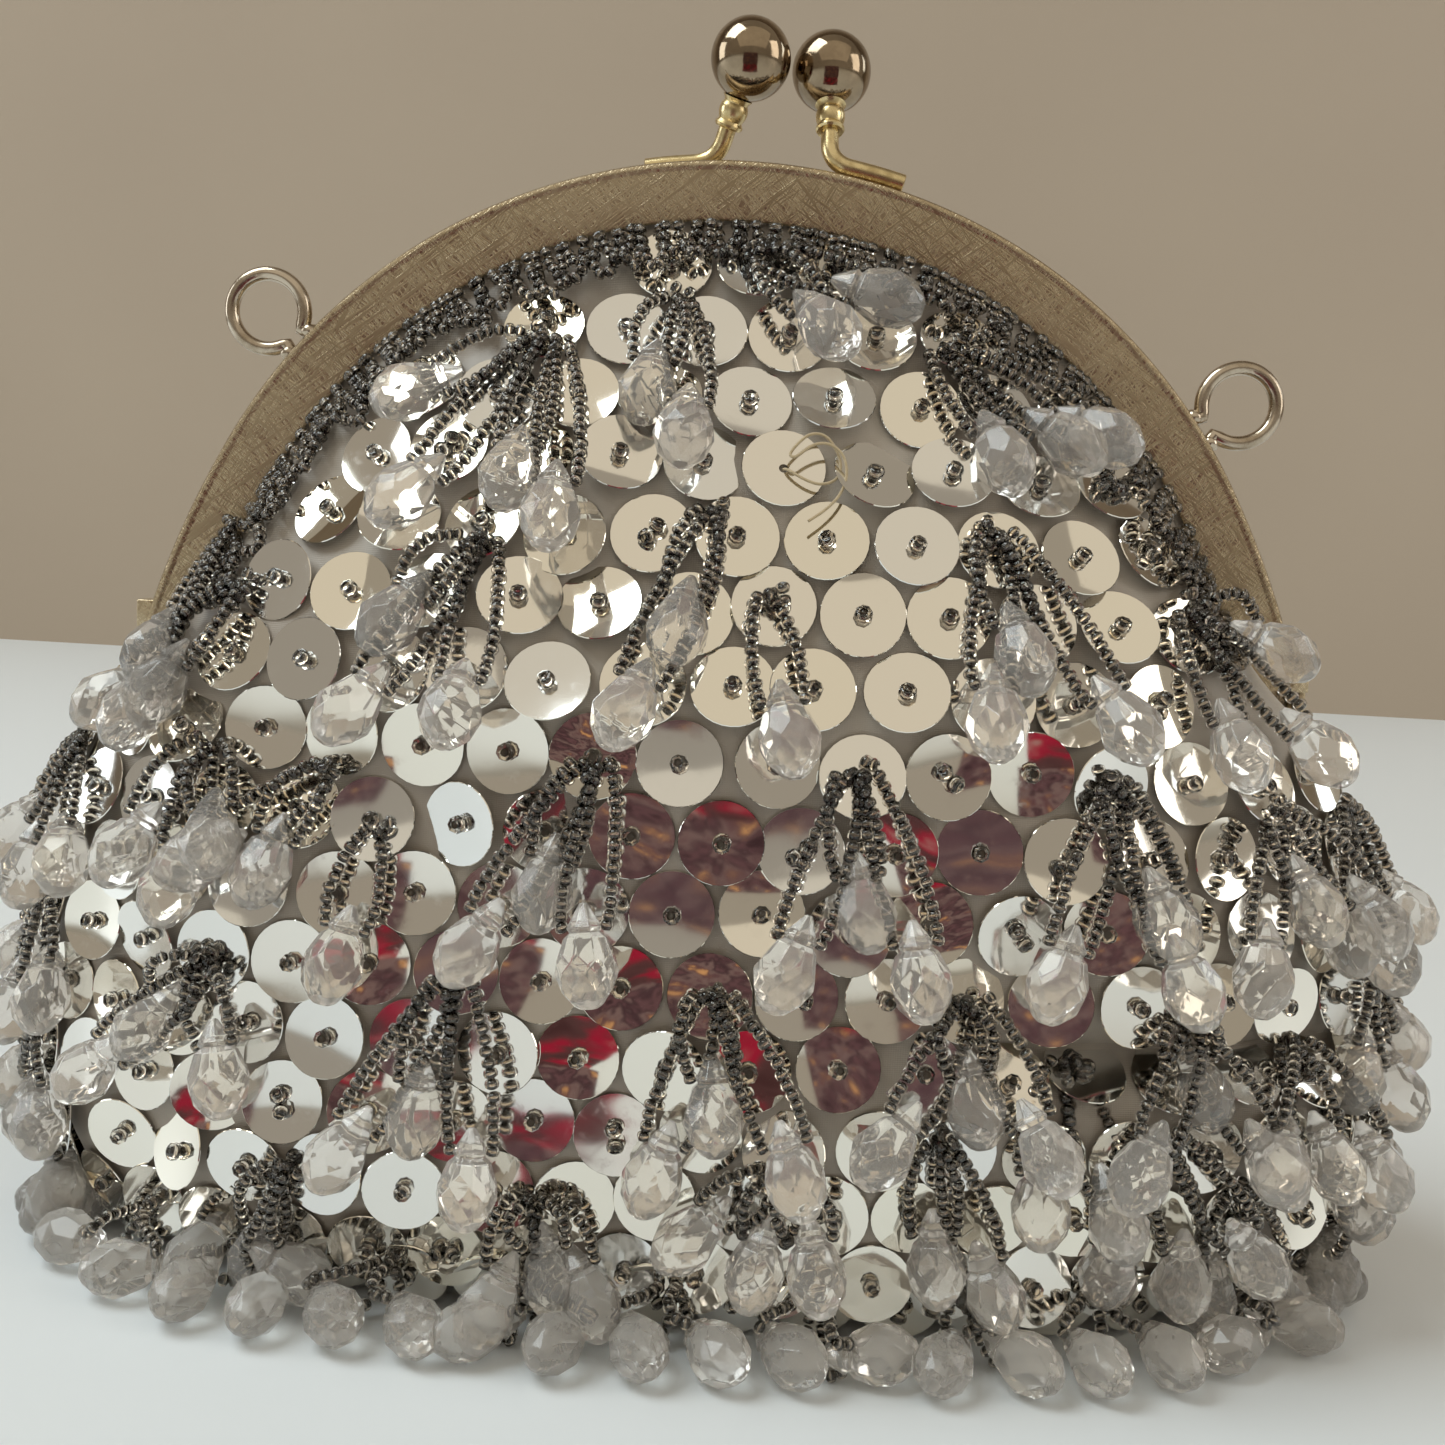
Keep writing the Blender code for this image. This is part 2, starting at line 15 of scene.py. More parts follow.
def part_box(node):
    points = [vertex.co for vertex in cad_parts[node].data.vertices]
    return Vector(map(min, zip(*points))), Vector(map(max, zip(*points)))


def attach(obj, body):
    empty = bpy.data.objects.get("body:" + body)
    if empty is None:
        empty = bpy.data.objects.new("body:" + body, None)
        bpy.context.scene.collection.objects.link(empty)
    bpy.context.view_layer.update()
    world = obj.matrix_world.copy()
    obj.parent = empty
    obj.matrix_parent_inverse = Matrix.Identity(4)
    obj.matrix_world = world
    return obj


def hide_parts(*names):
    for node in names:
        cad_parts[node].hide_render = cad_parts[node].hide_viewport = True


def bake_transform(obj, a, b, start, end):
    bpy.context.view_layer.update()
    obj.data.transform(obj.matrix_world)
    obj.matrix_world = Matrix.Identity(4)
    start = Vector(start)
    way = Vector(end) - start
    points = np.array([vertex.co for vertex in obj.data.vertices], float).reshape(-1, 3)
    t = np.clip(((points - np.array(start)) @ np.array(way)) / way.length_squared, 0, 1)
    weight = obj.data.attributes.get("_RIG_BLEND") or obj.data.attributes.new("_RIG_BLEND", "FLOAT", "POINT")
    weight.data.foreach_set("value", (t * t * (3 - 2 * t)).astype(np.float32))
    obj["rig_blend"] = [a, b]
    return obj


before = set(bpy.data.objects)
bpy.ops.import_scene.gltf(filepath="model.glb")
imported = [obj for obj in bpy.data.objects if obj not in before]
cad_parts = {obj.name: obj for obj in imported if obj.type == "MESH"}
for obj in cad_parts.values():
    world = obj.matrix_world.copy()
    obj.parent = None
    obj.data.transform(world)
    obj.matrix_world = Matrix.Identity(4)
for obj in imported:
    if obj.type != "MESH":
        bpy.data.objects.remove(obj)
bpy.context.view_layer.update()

MM = 0.001
random = np.random.default_rng(11)

# Frame outline, as in the CAD source
HINGE_Z = 76.0
CROWN_RADIUS = 72.5
CROWN_ANGLE = 60.0
LEG_RADIUS = 120.0
FRAME_TOP_Z = 141.0
RAIL_END_ANGLE = 72.4
RAIL_WIDTH = 7.2
RAIL_NEAR_Y = 0.2                 # the rail's inner and outer faces, from the joint plane
RAIL_FAR_Y = 4.6
RAIL_Y = (RAIL_NEAR_Y + RAIL_FAR_Y) / 2
FRONT_EAR_X = 74.1
REAR_EAR_X = 72.9
EAR_RADIUS = 3.4
EAR_THICKNESS = 0.8
LUG_INNER_X = 71.6                # where the lug that carries the ear leaves the rail
PIN_RADIUS = 1.0

# Clasp and rings, as in the CAD source
BALL_RADIUS = 4.9
STEM_RADIUS = 1.1
CUT_END_BEVEL = 0.12
REAR_FOOT_X = (-12.5, -6.8, -3.7)
FRONT_FOOT_X = (19.6, 13.4, 10.4)
COLLAR_HEIGHT = 3.2
RING_RADIUS = 4.6
RING_WIRE = 0.9
RING_STAND_OFF = 5.8              # ring centre outside the rail's outer edge
RING_ANGLES = {"left": -48.5, "right": 53.5}

# Pouch
WIDEST_Z = 30.0
RIM_Z = 71.0
HALF_WIDTHS = (64.0, 85.5, 77.5)  # at the base, the widest level and the rim
HALF_DEPTHS = (15.0, 26.5, 25.8)
SECTION_POWER = 2.3
CORNER_POWER = 2.4
YOKE_EDGE = 8.0                   # inset of the line where the cloth enters the rail
YOKE_TUCK = 3.8
YOKE_TOP_Y = 3.2
NECK = 0.86                       # the cloth's columns lean in towards the arch

# Decoration
SEQUIN_RADIUS = 4.95
SEQUIN_PITCH = 9.9
ROW_PITCH = 8.77
LATTICE_X = 2.2                   # a sequin of the tassel rows sits this far from the centre
FIRST_ROW_Z = 43.8
BEAD_PITCH = 1.27
BEAD_RADIUS = 0.85
STOP_BEAD_SCALE = 1.3
CORE_RADIUS_SHARE = 0.48          # the dark lining seen through the glass
CORE_HEIGHT_SHARE = 0.74
DROP_HALF = 5.8
DROP_RADIUS = 3.6
DROP_GROOVE = 3.2                 # from the top of a drop to the groove that the beads grip
STRAND_LENGTH = 14.0
TABLE_DROP_Z = 3.5


# ---------------------------------------------------------------- shape of the cloth

CROWN_CENTRE_Z = FRAME_TOP_Z - CROWN_RADIUS
LEG_SHIFT = LEG_RADIUS - CROWN_RADIUS
LEG_CENTRE_X = LEG_SHIFT * math.sin(math.radians(CROWN_ANGLE))
LEG_CENTRE_Z = CROWN_CENTRE_Z - LEG_SHIFT * math.cos(math.radians(CROWN_ANGLE))


def frame_point(angle, inset):
    """(x, z) on the arch, at an angle in degrees from the top, inset from its outer edge."""
    turn, side = math.radians(abs(angle)), math.copysign(1.0, angle)
    if abs(angle) <= CROWN_ANGLE:
        reach = CROWN_RADIUS - inset
        return side * reach * math.sin(turn), CROWN_CENTRE_Z + reach * math.cos(turn)
    reach = LEG_RADIUS - inset
    x = side * (reach * math.sin(turn) - LEG_CENTRE_X)
    return x, LEG_CENTRE_Z + reach * math.cos(turn)


def arch_height(x, inset):
    x, crown = abs(x), CROWN_RADIUS - inset
    if x <= crown * math.sin(math.radians(CROWN_ANGLE)):
        return CROWN_CENTRE_Z + math.sqrt(crown ** 2 - x ** 2)
    leg = LEG_RADIUS - inset
    return LEG_CENTRE_Z + math.sqrt(max(leg ** 2 - (x + LEG_CENTRE_X) ** 2, 0.0))


def arch_half_width(z, inset):
    crown, leg = CROWN_RADIUS - inset, LEG_RADIUS - inset
    if z >= CROWN_CENTRE_Z + crown * math.cos(math.radians(CROWN_ANGLE)):
        return math.sqrt(max(crown ** 2 - (z - CROWN_CENTRE_Z) ** 2, 0.0))
    return math.sqrt(leg ** 2 - (z - LEG_CENTRE_Z) ** 2) - LEG_CENTRE_X


def full_turn(segments):
    return np.linspace(0, 2 * math.pi, segments, endpoint=False)


def travelled(points):
    """Distance along a line of points to each of them."""
    steps = np.linalg.norm(np.diff(points, axis=0), axis=1)
    return np.concatenate(([0.0], np.cumsum(steps)))


def side_of(facing):
    return "front" if facing < 0 else "rear"


def smooth(t):
    t = min(max(t, 0.0), 1.0)
    return t * t * (3 - 2 * t)


def level(z, base, widest, rim):
    if z < WIDEST_Z:
        rise = 1 - (1 - max(z, 0.0) / WIDEST_Z) ** CORNER_POWER
        return base + (widest - base) * rise ** (1 / CORNER_POWER)
    return widest - (widest - rim) * ((z - WIDEST_Z) / (RIM_Z - WIDEST_Z)) ** 2


def ring_point(turn, z, inset=0.0):
    """(x, distance from the joint plane) on the pouch; turn runs -90..90 across one face."""
    width = level(z, *HALF_WIDTHS) - inset
    depth = level(z, *HALF_DEPTHS) - inset
    s, c = math.sin(math.radians(turn)), math.cos(math.radians(turn))
    x = math.copysign(width * abs(s) ** (2 / SECTION_POWER), s)
    return x, depth * abs(c) ** (2 / SECTION_POWER)


def yoke_point(turn, rise, inset=0.0):
    """(x, distance from the joint plane, z) on the upper cloth; rise runs 0..1 to the rail."""
    x0, d0 = ring_point(turn, HINGE_Z, inset)
    x1 = x0 * NECK
    z1 = arch_height(x1, YOKE_EDGE)
    top = YOKE_TOP_Y - inset
    return (x0 + (x1 - x0) * rise, top + (d0 - top) * (1 - rise ** 1.2),
            HINGE_Z + (z1 - HINGE_Z) * rise)


def yoke_distance(x, z):
    """Distance of the upper cloth from the joint plane at a place on its face."""
    x0, rise = x, 0.0
    for _ in range(8):
        rise = min(max((z - HINGE_Z) / (arch_height(x0 * NECK, YOKE_EDGE) - HINGE_Z), 0.0), 1.0)
        x0 = x / (1 - (1 - NECK) * rise)
    width, depth = level(HINGE_Z, *HALF_WIDTHS), level(HINGE_Z, *HALF_DEPTHS)
    share = min(abs(x0) / width, 1.0) ** SECTION_POWER
    bottom = depth * (1 - share) ** (1 / SECTION_POWER)
    return YOKE_TOP_Y + (bottom - YOKE_TOP_Y) * (1 - rise ** 1.2)


SAG_Z = 37.5
SAG_X = 38.0


def sag(facing, x, z):
    """How far the cloth stands out from its plain shape: soft folds, and one sharp sag."""
    calm = smooth(z / 14) * smooth((arch_height(x, YOKE_EDGE) - z) / 16 if z > HINGE_Z else 1.0)
    folds = 0.55 * math.sin(0.11 * x + 0.06 * z + 1.3 * facing)
    folds += 0.45 * math.sin(0.19 * z - 0.05 * x * facing + 0.8)
    folds += 0.25 * math.sin(0.31 * x - 0.23 * z + 2.1 * facing)
    side = smooth((x * (1 if facing < 0 else -1) - SAG_X + 16) / 22)
    crease = (-3.0 * math.exp(-((z - SAG_Z) / 2.6) ** 2)
              + 1.5 * math.exp(-((z - SAG_Z + 8) / 6) ** 2))
    return calm * (folds + side * crease)


LEVELS = {}


def level_curve(z):
    """The cloth's outline on one face at a height: distances along it, x and depth."""
    key = round(z, 2)
    if key not in LEVELS:
        if z < HINGE_Z:
            line = [ring_point(turn, z) for turn in np.linspace(-90, 90, 121)]
        else:
            half = arch_half_width(z, YOKE_EDGE)
            line = [(x, yoke_distance(x, z)) for x in np.linspace(-half, half, 81)]
        line = np.array(line)
        steps = np.hypot(*np.diff(line, axis=0).T)
        along = np.concatenate(([0.0], np.cumsum(steps)))
        LEVELS[key] = (along - along[-1] / 2, line[:, 0], line[:, 1])
    return LEVELS[key]


def quarter(z):
    """Distance along the cloth from the middle of a face to its side seam."""
    return level_curve(z)[0][-1]


def cloth_point(facing, along, z):
    """A point on the cloth, at a distance along it from the middle of the face."""
    distances, xs, depths = level_curve(z)
    edge = distances[-1]
    other = 1.0
    if abs(along) > edge:
        along = math.copysign(2 * edge - abs(along), along) if z < HINGE_Z else along
        other = -1.0 if z < HINGE_Z else 1.0
    x = float(np.interp(along, distances, xs))
    depth = float(np.interp(along, distances, depths))
    lift = sag(facing * other, x, z) * smooth(depth / 12)
    return np.array((x, facing * other * (depth + lift), z))


def cloth_frame(facing, along, z):
    """Point, outward normal and upward direction on the cloth."""
    step = 0.6
    if z >= HINGE_Z - step:
        edge = quarter(z + step) - 2 * step
        along = min(max(along, -edge), edge)
    here = cloth_point(facing, along, z)
    across = cloth_point(facing, along + step, z) - cloth_point(facing, along - step, z)
    up = cloth_point(facing, along, z + step) - cloth_point(facing, along, max(z - step, 0.0))
    normal = np.cross(across, up) * (1.0 if facing < 0 else -1.0)
    normal /= np.linalg.norm(normal)
    up -= normal * (up @ normal)
    return here, normal, up / np.linalg.norm(up)


def along_of(x, z):
    """Distance along the cloth of a place given by its x."""
    distances, xs, _ = level_curve(z)
    return float(np.interp(x, xs, distances))


def off_cloth(facing, along, z, out):
    here, normal, _ = cloth_frame(facing, along, z)
    return here + normal * out


FOLLOW_START_Z = 56.0
FOLLOW_END_Z = 112.0


def bend_share(x, z):
    """0 where the cloth stays with the pouch and 1 where it goes with the frame rail."""
    start = FOLLOW_START_Z + 14.0 * smooth((abs(x) - 45.0) / 30.0)
    end = max(min(FOLLOW_END_Z, arch_height(x, YOKE_EDGE)), start + 8.0)
    return smooth((z - start) / (end - start))


# ---------------------------------------------------------------- materials

def shader_material(name, colour, roughness, metallic=0.0, **sockets):
    made = bpy.data.materials.new(name)
    made.use_nodes = True
    shader = made.node_tree.nodes["Principled BSDF"]
    shader.inputs["Base Color"].default_value = (*colour, 1.0)
    shader.inputs["Roughness"].default_value = roughness
    shader.inputs["Metallic"].default_value = metallic
    for key, value in sockets.items():
        shader.inputs[key.replace("_", " ")].default_value = value
    made.diffuse_color = (*colour, 1.0)
    return made


class Nodes:
    """A short way to add and join nodes in one material."""

    def __init__(self, made):
        self.tree = made.node_tree
        self.shader = self.tree.nodes["Principled BSDF"]

    def add(self, kind, settings=None, **values):
        node = self.tree.nodes.new("ShaderNode" + kind)
        for key, value in (settings or {}).items():
            setattr(node, key, value)
        for key, value in values.items():
            self.set(node.inputs[key.replace("_", " ")], value)
        return node

    def set(self, socket, value):
        if isinstance(value, bpy.types.NodeSocket):
            self.tree.links.new(value, socket)
        else:
            socket.default_value = value

    def place(self, stretch=(1, 1, 1), turn=(0, 0, 0)):
        """Object coordinates, turned and then stretched along the turned axes."""
        coordinates = self.add("TexCoord")
        mapping = self.add("Mapping", {"vector_type": 'TEXTURE'},
                           Vector=coordinates.outputs["Object"])
        mapping.inputs["Scale"].default_value = stretch
        mapping.inputs["Rotation"].default_value = turn
        return mapping.outputs["Vector"]

    def noise(self, scale, detail=3.0, place=None, roughness=0.5, distortion=0.0):
        node = self.add("TexNoise", Scale=scale, Detail=detail, Roughness=roughness,
                        Distortion=distortion, Vector=place or self.place())
        return node.outputs["Fac"]

    def spread(self, value, low, high, out_low=0.0, out_high=1.0):
        """value taken from low..high to out_low..out_high."""
        node = self.add("MapRange", Value=value)
        for key, number in (("From Min", low), ("From Max", high),
                            ("To Min", out_low), ("To Max", out_high)):
            node.inputs[key].default_value = number
        return node.outputs["Result"]

    def mix(self, factor, first, second):
        node = self.add("Mix", {"data_type": "RGBA"})
        self.set(node.inputs[0], factor)
        for socket, colour in ((node.inputs[6], first), (node.inputs[7], second)):
            self.set(socket, colour if isinstance(colour, bpy.types.NodeSocket) else (*colour, 1.0))
        return node.outputs[2]

    def maths(self, operation, first, second):
        node = self.add("Math", {"operation": operation})
        self.set(node.inputs[0], first)
        self.set(node.inputs[1], second)
        return node.outputs[0]

    def bump(self, height, strength, distance, normal=None):
        node = self.add("Bump", Height=height, Strength=strength, Distance=distance * MM)
        if normal is not None:
            self.set(node.inputs["Normal"], normal)
        return node.outputs["Normal"]

    def wire(self, **sockets):
        for key, value in sockets.items():
            self.set(self.shader.inputs[key.replace("_", " ")], value)


def satin_material(name, light, dark, roughness, sheen):
    made = shader_material(name, light, roughness, Sheen_Weight=sheen, Sheen_Roughness=0.35)
    n = Nodes(made)
    blotch = n.spread(n.noise(70.0, 4.0), 0.35, 0.65)
    n.wire(Base_Color=n.mix(blotch, dark, light))
    weft = n.add("TexWave", {"bands_direction": 'Z'}, Scale=1400.0, Distortion=1.5, Detail=2.0,
                 Vector=n.place()).outputs["Fac"]
    warp = n.add("TexWave", {"bands_direction": 'X'}, Scale=1100.0, Distortion=1.5, Detail=2.0,
                 Vector=n.place()).outputs["Fac"]
    weave = n.maths('ADD', n.maths('MULTIPLY', weft, 0.65), n.maths('MULTIPLY', warp, 0.35))
    fine = n.bump(weave, 0.35, 0.05)
    n.wire(Normal=n.bump(n.noise(160.0, 3.0), 0.4, 0.6, fine),
           Roughness=n.spread(n.noise(260.0, 2.0), 0.3, 0.7, roughness - 0.1, roughness + 0.12))
    return made


def metal_material(name, bright, worn, roughness, worn_roughness, scale, bump=0.15):
    """Plated metal with soft patches of wear and fine handling scratches."""
    made = shader_material(name, bright, roughness, 1.0)
    n = Nodes(made)
    patch = n.spread(n.noise(scale, 5.0, roughness=0.65), 0.42, 0.68)
    scratch = n.noise(2500.0, 2.0, n.place((14, 1, 1), (0.3, 0.7, 0.2)))
    n.wire(Base_Color=n.mix(patch, bright, worn),
           Roughness=n.maths('ADD', n.spread(patch, 0, 1, roughness, worn_roughness),
                             n.spread(scratch, 0.45, 0.8, 0.0, 0.12)),
           Normal=n.bump(scratch, bump, 0.04))
    return made


def engraved_material():
    """Champagne plate with a fine cross-hatched engraving, rubbed smooth in places."""
    bright, worn = (0.56, 0.46, 0.31), (0.40, 0.31, 0.19)
    made = shader_material("engraved_champagne_plate", bright, 0.3, 1.0)
    n = Nodes(made)
    lines = None
    for degrees, scale in ((33, 5200.0), (-38, 4700.0), (52, 5900.0), (-61, 5400.0)):
        hatch = n.noise(scale, 1.0, n.place((30, 6, 1), (0, math.radians(degrees), 0)))
        ridge = n.spread(hatch, 0.52, 0.64)
        lines = ridge if lines is None else n.maths('MAXIMUM', lines, ridge)
    rubbed = n.spread(n.noise(55.0, 4.0), 0.35, 0.7)
    n.wire(Normal=n.bump(lines, 0.55, 0.045),
           Roughness=n.maths('ADD', n.spread(lines, 0, 1, 0.17, 0.32),
                             n.maths('MULTIPLY', rubbed, 0.08)),
           Base_Color=n.mix(n.maths('MULTIPLY', lines, n.spread(rubbed, 0, 1, 0.6, 0.2)),
                            bright, worn))
    return made


def mirror_material():
    """Metallised sequins: slightly rippled mirrors that differ a little in tone."""
    made = shader_material("mirror_sequin", (0.88, 0.87, 0.83), 0.05, 1.0)
    n = Nodes(made)
    island = n.add("NewGeometry").outputs["Random Per Island"]
    tone = n.add("ValToRGB", Fac=island)
    ramp = tone.color_ramp
    ramp.elements[0].color = (0.93, 0.89, 0.78, 1.0)
    ramp.elements[1].color = (0.86, 0.87, 0.86, 1.0)
    ramp.elements.new(0.6).color = (0.91, 0.88, 0.81, 1.0)
    ripple = n.noise(110.0, 1.0)
    scuff = n.spread(n.noise(420.0, 6.0, roughness=0.7), 0.55, 0.8)
    n.wire(Base_Color=tone.outputs["Color"],
           Roughness=n.maths('ADD', n.spread(island, 0, 1, 0.03, 0.09),
                             n.maths('MULTIPLY', scuff, 0.12)),
           Normal=n.bump(ripple, 0.25, 0.5))
    return made


def glass_material(name, roughness, colour, ior, ripple=0.12, clarity=1.0):
    made = shader_material(name, colour, roughness, Transmission_Weight=clarity, IOR=ior)
    n = Nodes(made)
    n.wire(Roughness=n.spread(n.noise(500.0, 3.0), 0.4, 0.75, roughness, roughness + 0.08),
           Normal=n.bump(n.noise(240.0, 1.0), ripple, 0.2))
    return made


def twisted(made, scale, detail, bump, dark, light):
    """Adds the twist of a spun cord; bump is its strength and distance."""
    n = Nodes(made)
    twist = n.noise(scale, detail, n.place((3, 1, 1)))
    n.wire(Normal=n.bump(twist, *bump), Base_Color=n.mix(twist, dark, light))
    return made


SATIN = satin_material("silver_grey_satin", (0.47, 0.42, 0.36), (0.36, 0.31, 0.26), 0.42, 0.35)
LINING = satin_material("ivory_lining", (0.66, 0.60, 0.50), (0.56, 0.50, 0.41), 0.55, 0.2)
PLATE = engraved_material()
POLISHED_PLATE = metal_material("polished_champagne_edge", (0.72, 0.64, 0.50), (0.52, 0.42, 0.28),
                                0.16, 0.34, 90.0)
# Clasp balls: both colours are darkened to a bronze tone that stands in for the dark room the polished balls
# reflect, a painted dark reflection.
BALL_NICKEL_PAINTED_DARK = metal_material("polished_nickel", (0.36, 0.28, 0.19), (0.22, 0.165, 0.11),
                        0.05, 0.15, 150.0, 0.05)
BRASS = metal_material("worn_brass", (0.78, 0.64, 0.36), (0.40, 0.29, 0.13), 0.2, 0.42, 320.0)
STEEL = metal_material("warm_steel_wire", (0.58, 0.50, 0.40), (0.34, 0.27, 0.19), 0.12, 0.3, 260.0)
SOLDER = metal_material("gold_solder", (0.75, 0.60, 0.33), (0.45, 0.33, 0.16),
                        0.25, 0.5, 500.0, 0.5)
MIRROR = mirror_material()
BEAD_GLASS = glass_material("clear_bead_glass", 0.02, (0.97, 0.93, 0.87), 1.5, 0.03)
DROP_GLASS = glass_material("clear_drop_glass", 0.03, (0.99, 0.96, 0.92), 1.45, clarity=0.82)
FROSTED_EDGE = glass_material("rubbed_facet_edges", 0.35, (0.99, 0.96, 0.92), 1.45, clarity=0.55)
DARK_CORE = metal_material("dark_bead_lining", (0.07, 0.052, 0.038), (0.02, 0.015, 0.011),
                             0.3, 0.5, 700.0)
SMOKY_CORE = metal_material("tarnished_bead_lining", (0.46, 0.36, 0.24), (0.16, 0.11, 0.07),
                            0.25, 0.5, 700.0)
PAPER = twisted(shader_material("paper_cord", (0.55, 0.47, 0.35), 0.85), 1500.0, 3.0,
                (0.6, 0.1), (0.48, 0.40, 0.29), (0.62, 0.54, 0.42))
THREAD = twisted(shader_material("ecru_thread", (0.50, 0.40, 0.24), 0.7, Sheen_Weight=0.3),
                 3000.0, 2.0, (0.5, 0.05), (0.38, 0.29, 0.16), (0.58, 0.47, 0.30))


# ---------------------------------------------------------------- mesh helpers

def add_piece(name, mesh, materials, bodies, replaces=(), shares=None):
    """Puts a finished mesh in the scene; two bodies make it bend between them."""
    mesh.materials.clear()
    for made in materials:
        mesh.materials.append(made)
    obj = bpy.data.objects.new(name, mesh)
    bpy.context.scene.collection.objects.link(obj)
    if len(bodies) == 1:
        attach(obj, bodies[0])
    else:
        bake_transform(obj, *bodies, start=(0, 0, FOLLOW_START_Z * MM), end=(0, 0, FOLLOW_END_Z * MM))
        if shares is None:
            shares = [bend_share(v.co.x / MM, v.co.z / MM) for v in mesh.vertices]
        mesh.attributes["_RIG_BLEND"].data.foreach_set("value", np.array(shares, np.float32))
    if replaces:
        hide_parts(*replaces)
    return obj


def bodies_of(facing):
    return "pouch", f"{side_of(facing)}_frame"


def mesh_from_bmesh(name, shape, sharp=None):
    """Makes the mesh in metres, smooth apart from edges sharper than the angle."""
    bmesh.ops.recalc_face_normals(shape, faces=shape.faces)
    bmesh.ops.scale(shape, vec=(MM, MM, MM), verts=shape.verts)
    for face in shape.faces:
        face.smooth = True
    mesh = bpy.data.meshes.new(name)
    shape.to_mesh(mesh)
    shape.free()
    if sharp:
        mesh.set_sharp_from_angle(angle=math.radians(sharp))
    return mesh


def grid(shape, rows, wrap=False):
    """Quads through rows of points of equal length; returns the rows of vertices."""
    made = [[shape.verts.new(point) for point in row] for row in rows]
    count = len(rows[0])
    for lower, upper in zip(made, made[1:]):
        for i in range(count if wrap else count - 1):
            j = (i + 1) % count
            shape.faces.new((lower[i], lower[j], upper[j], upper[i]))
    return made


def sweep(shape, points, radius, segments=16, closed=False, caps=True):
    """A round wire along points; radius is a number or one number for each point."""
    points = [Vector(p) for p in points]
    count = len(points)
    rings, side = [], None
    for i, point in enumerate(points):
        before = points[i - 1] if i or closed else point
        after = points[(i + 1) % count] if i < count - 1 or closed else point
        ahead = (after - before).normalized()
        if side is None:
            side = ahead.orthogonal().normalized()
        side = (side - ahead * side.dot(ahead)).normalized()
        other = ahead.cross(side)
        r = radius[i] if hasattr(radius, "__len__") else radius
        rings.append([point + (side * math.cos(t) + other * math.sin(t)) * r
                      for t in full_turn(segments)])
    if closed:
        rings.append(rings[0])
    made = grid(shape, rings, wrap=True)
    if closed:
        bmesh.ops.remove_doubles(shape, verts=made[0] + made[-1], dist=1e-5)
    elif caps:
        shape.faces.new(made[0])
        shape.faces.new(made[-1])


class Template:
    """A small mesh to copy many times: points, triangles and a material number for each."""

    def __init__(self, shape):
        bmesh.ops.recalc_face_normals(shape, faces=shape.faces)
        bmesh.ops.triangulate(shape, faces=shape.faces)
        shape.verts.index_update()
        self.points = np.array([v.co for v in shape.verts])
        self.triangles = np.array([[v.index for v in f.verts] for f in shape.faces])
        self.slots = np.array([f.material_index for f in shape.faces])
        shape.free()


class Batch:
    """Copies of templates, gathered into one mesh."""

    def __init__(self):
        self.points, self.triangles, self.slots, self.shares = [], [], [], []
        self.count = 0

    def stamp(self, template, turn, place, points=None):
        shape = template.points if points is None else points
        self.points.append(shape @ turn.T + place)
        self.triangles.append(template.triangles + self.count)
        self.slots.append(template.slots)
        self.shares.append(np.full(len(shape), bend_share(place[0], place[2])))
        self.count += len(shape)

    def piece(self, name, materials, slot, facing, replaces=(), sharp=None):
        """Makes the piece; sharp is the angle kept as an edge, and 0 makes every face flat."""
        mesh = bpy.data.meshes.new(name)
        triangles = np.concatenate(self.triangles)
        mesh.from_pydata(np.concatenate(self.points) * MM, [], triangles)
        mesh.polygons.foreach_set("material_index", np.concatenate(self.slots))
        mesh.polygons.foreach_set("use_smooth", np.full(len(triangles), sharp != 0))
        if sharp:
            mesh.set_sharp_from_angle(angle=math.radians(sharp))
        add_piece(name, mesh, materials, bodies_of(facing), replaces,
                  np.concatenate(self.shares))


def unit(vector):
    return vector / max(np.linalg.norm(vector), 1e-9)


def axes(ahead, side_hint):
    """Rotation whose Z is ahead and whose X is near side_hint."""
    z = unit(ahead)
    x = unit(side_hint - z * (side_hint @ z))
    return np.column_stack((x, np.cross(z, x), z))


def turned_about(ahead, spin):
    """Rotation with Z ahead, spun about it by an angle."""
    hint = np.array((0.0, 0.0, 1.0)) if abs(unit(ahead)[2]) < 0.9 else np.array((1.0, 0.0, 0.0))
    base = axes(ahead, hint)
    c, s = math.cos(spin), math.sin(spin)
    return base @ np.array(((c, -s, 0), (s, c, 0), (0, 0, 1)))


def lathe(profile, segments, closed=False):
    """Rings about Z through (radius, height) points; open ends are capped flat."""
    shape = bmesh.new()
    rings = [[(r * math.cos(t), r * math.sin(t), z) for t in full_turn(segments)]
             for r, z in profile]
    if closed:
        rings.append(rings[0])
    made = grid(shape, rings, wrap=True)
    if closed:
        bmesh.ops.remove_doubles(shape, verts=made[0] + made[-1], dist=1e-6)
    else:
        shape.faces.new(made[0])
        shape.faces.new(made[-1])
    return shape


# ---------------------------------------------------------------- satin and lining

COLUMNS = np.linspace(-90, 90, 97)
WALL_HEIGHTS = np.concatenate(((0.0, 0.25, 1.0, 2.4, 4.5, 7.0, 10.0), np.linspace(13, 76, 36)))


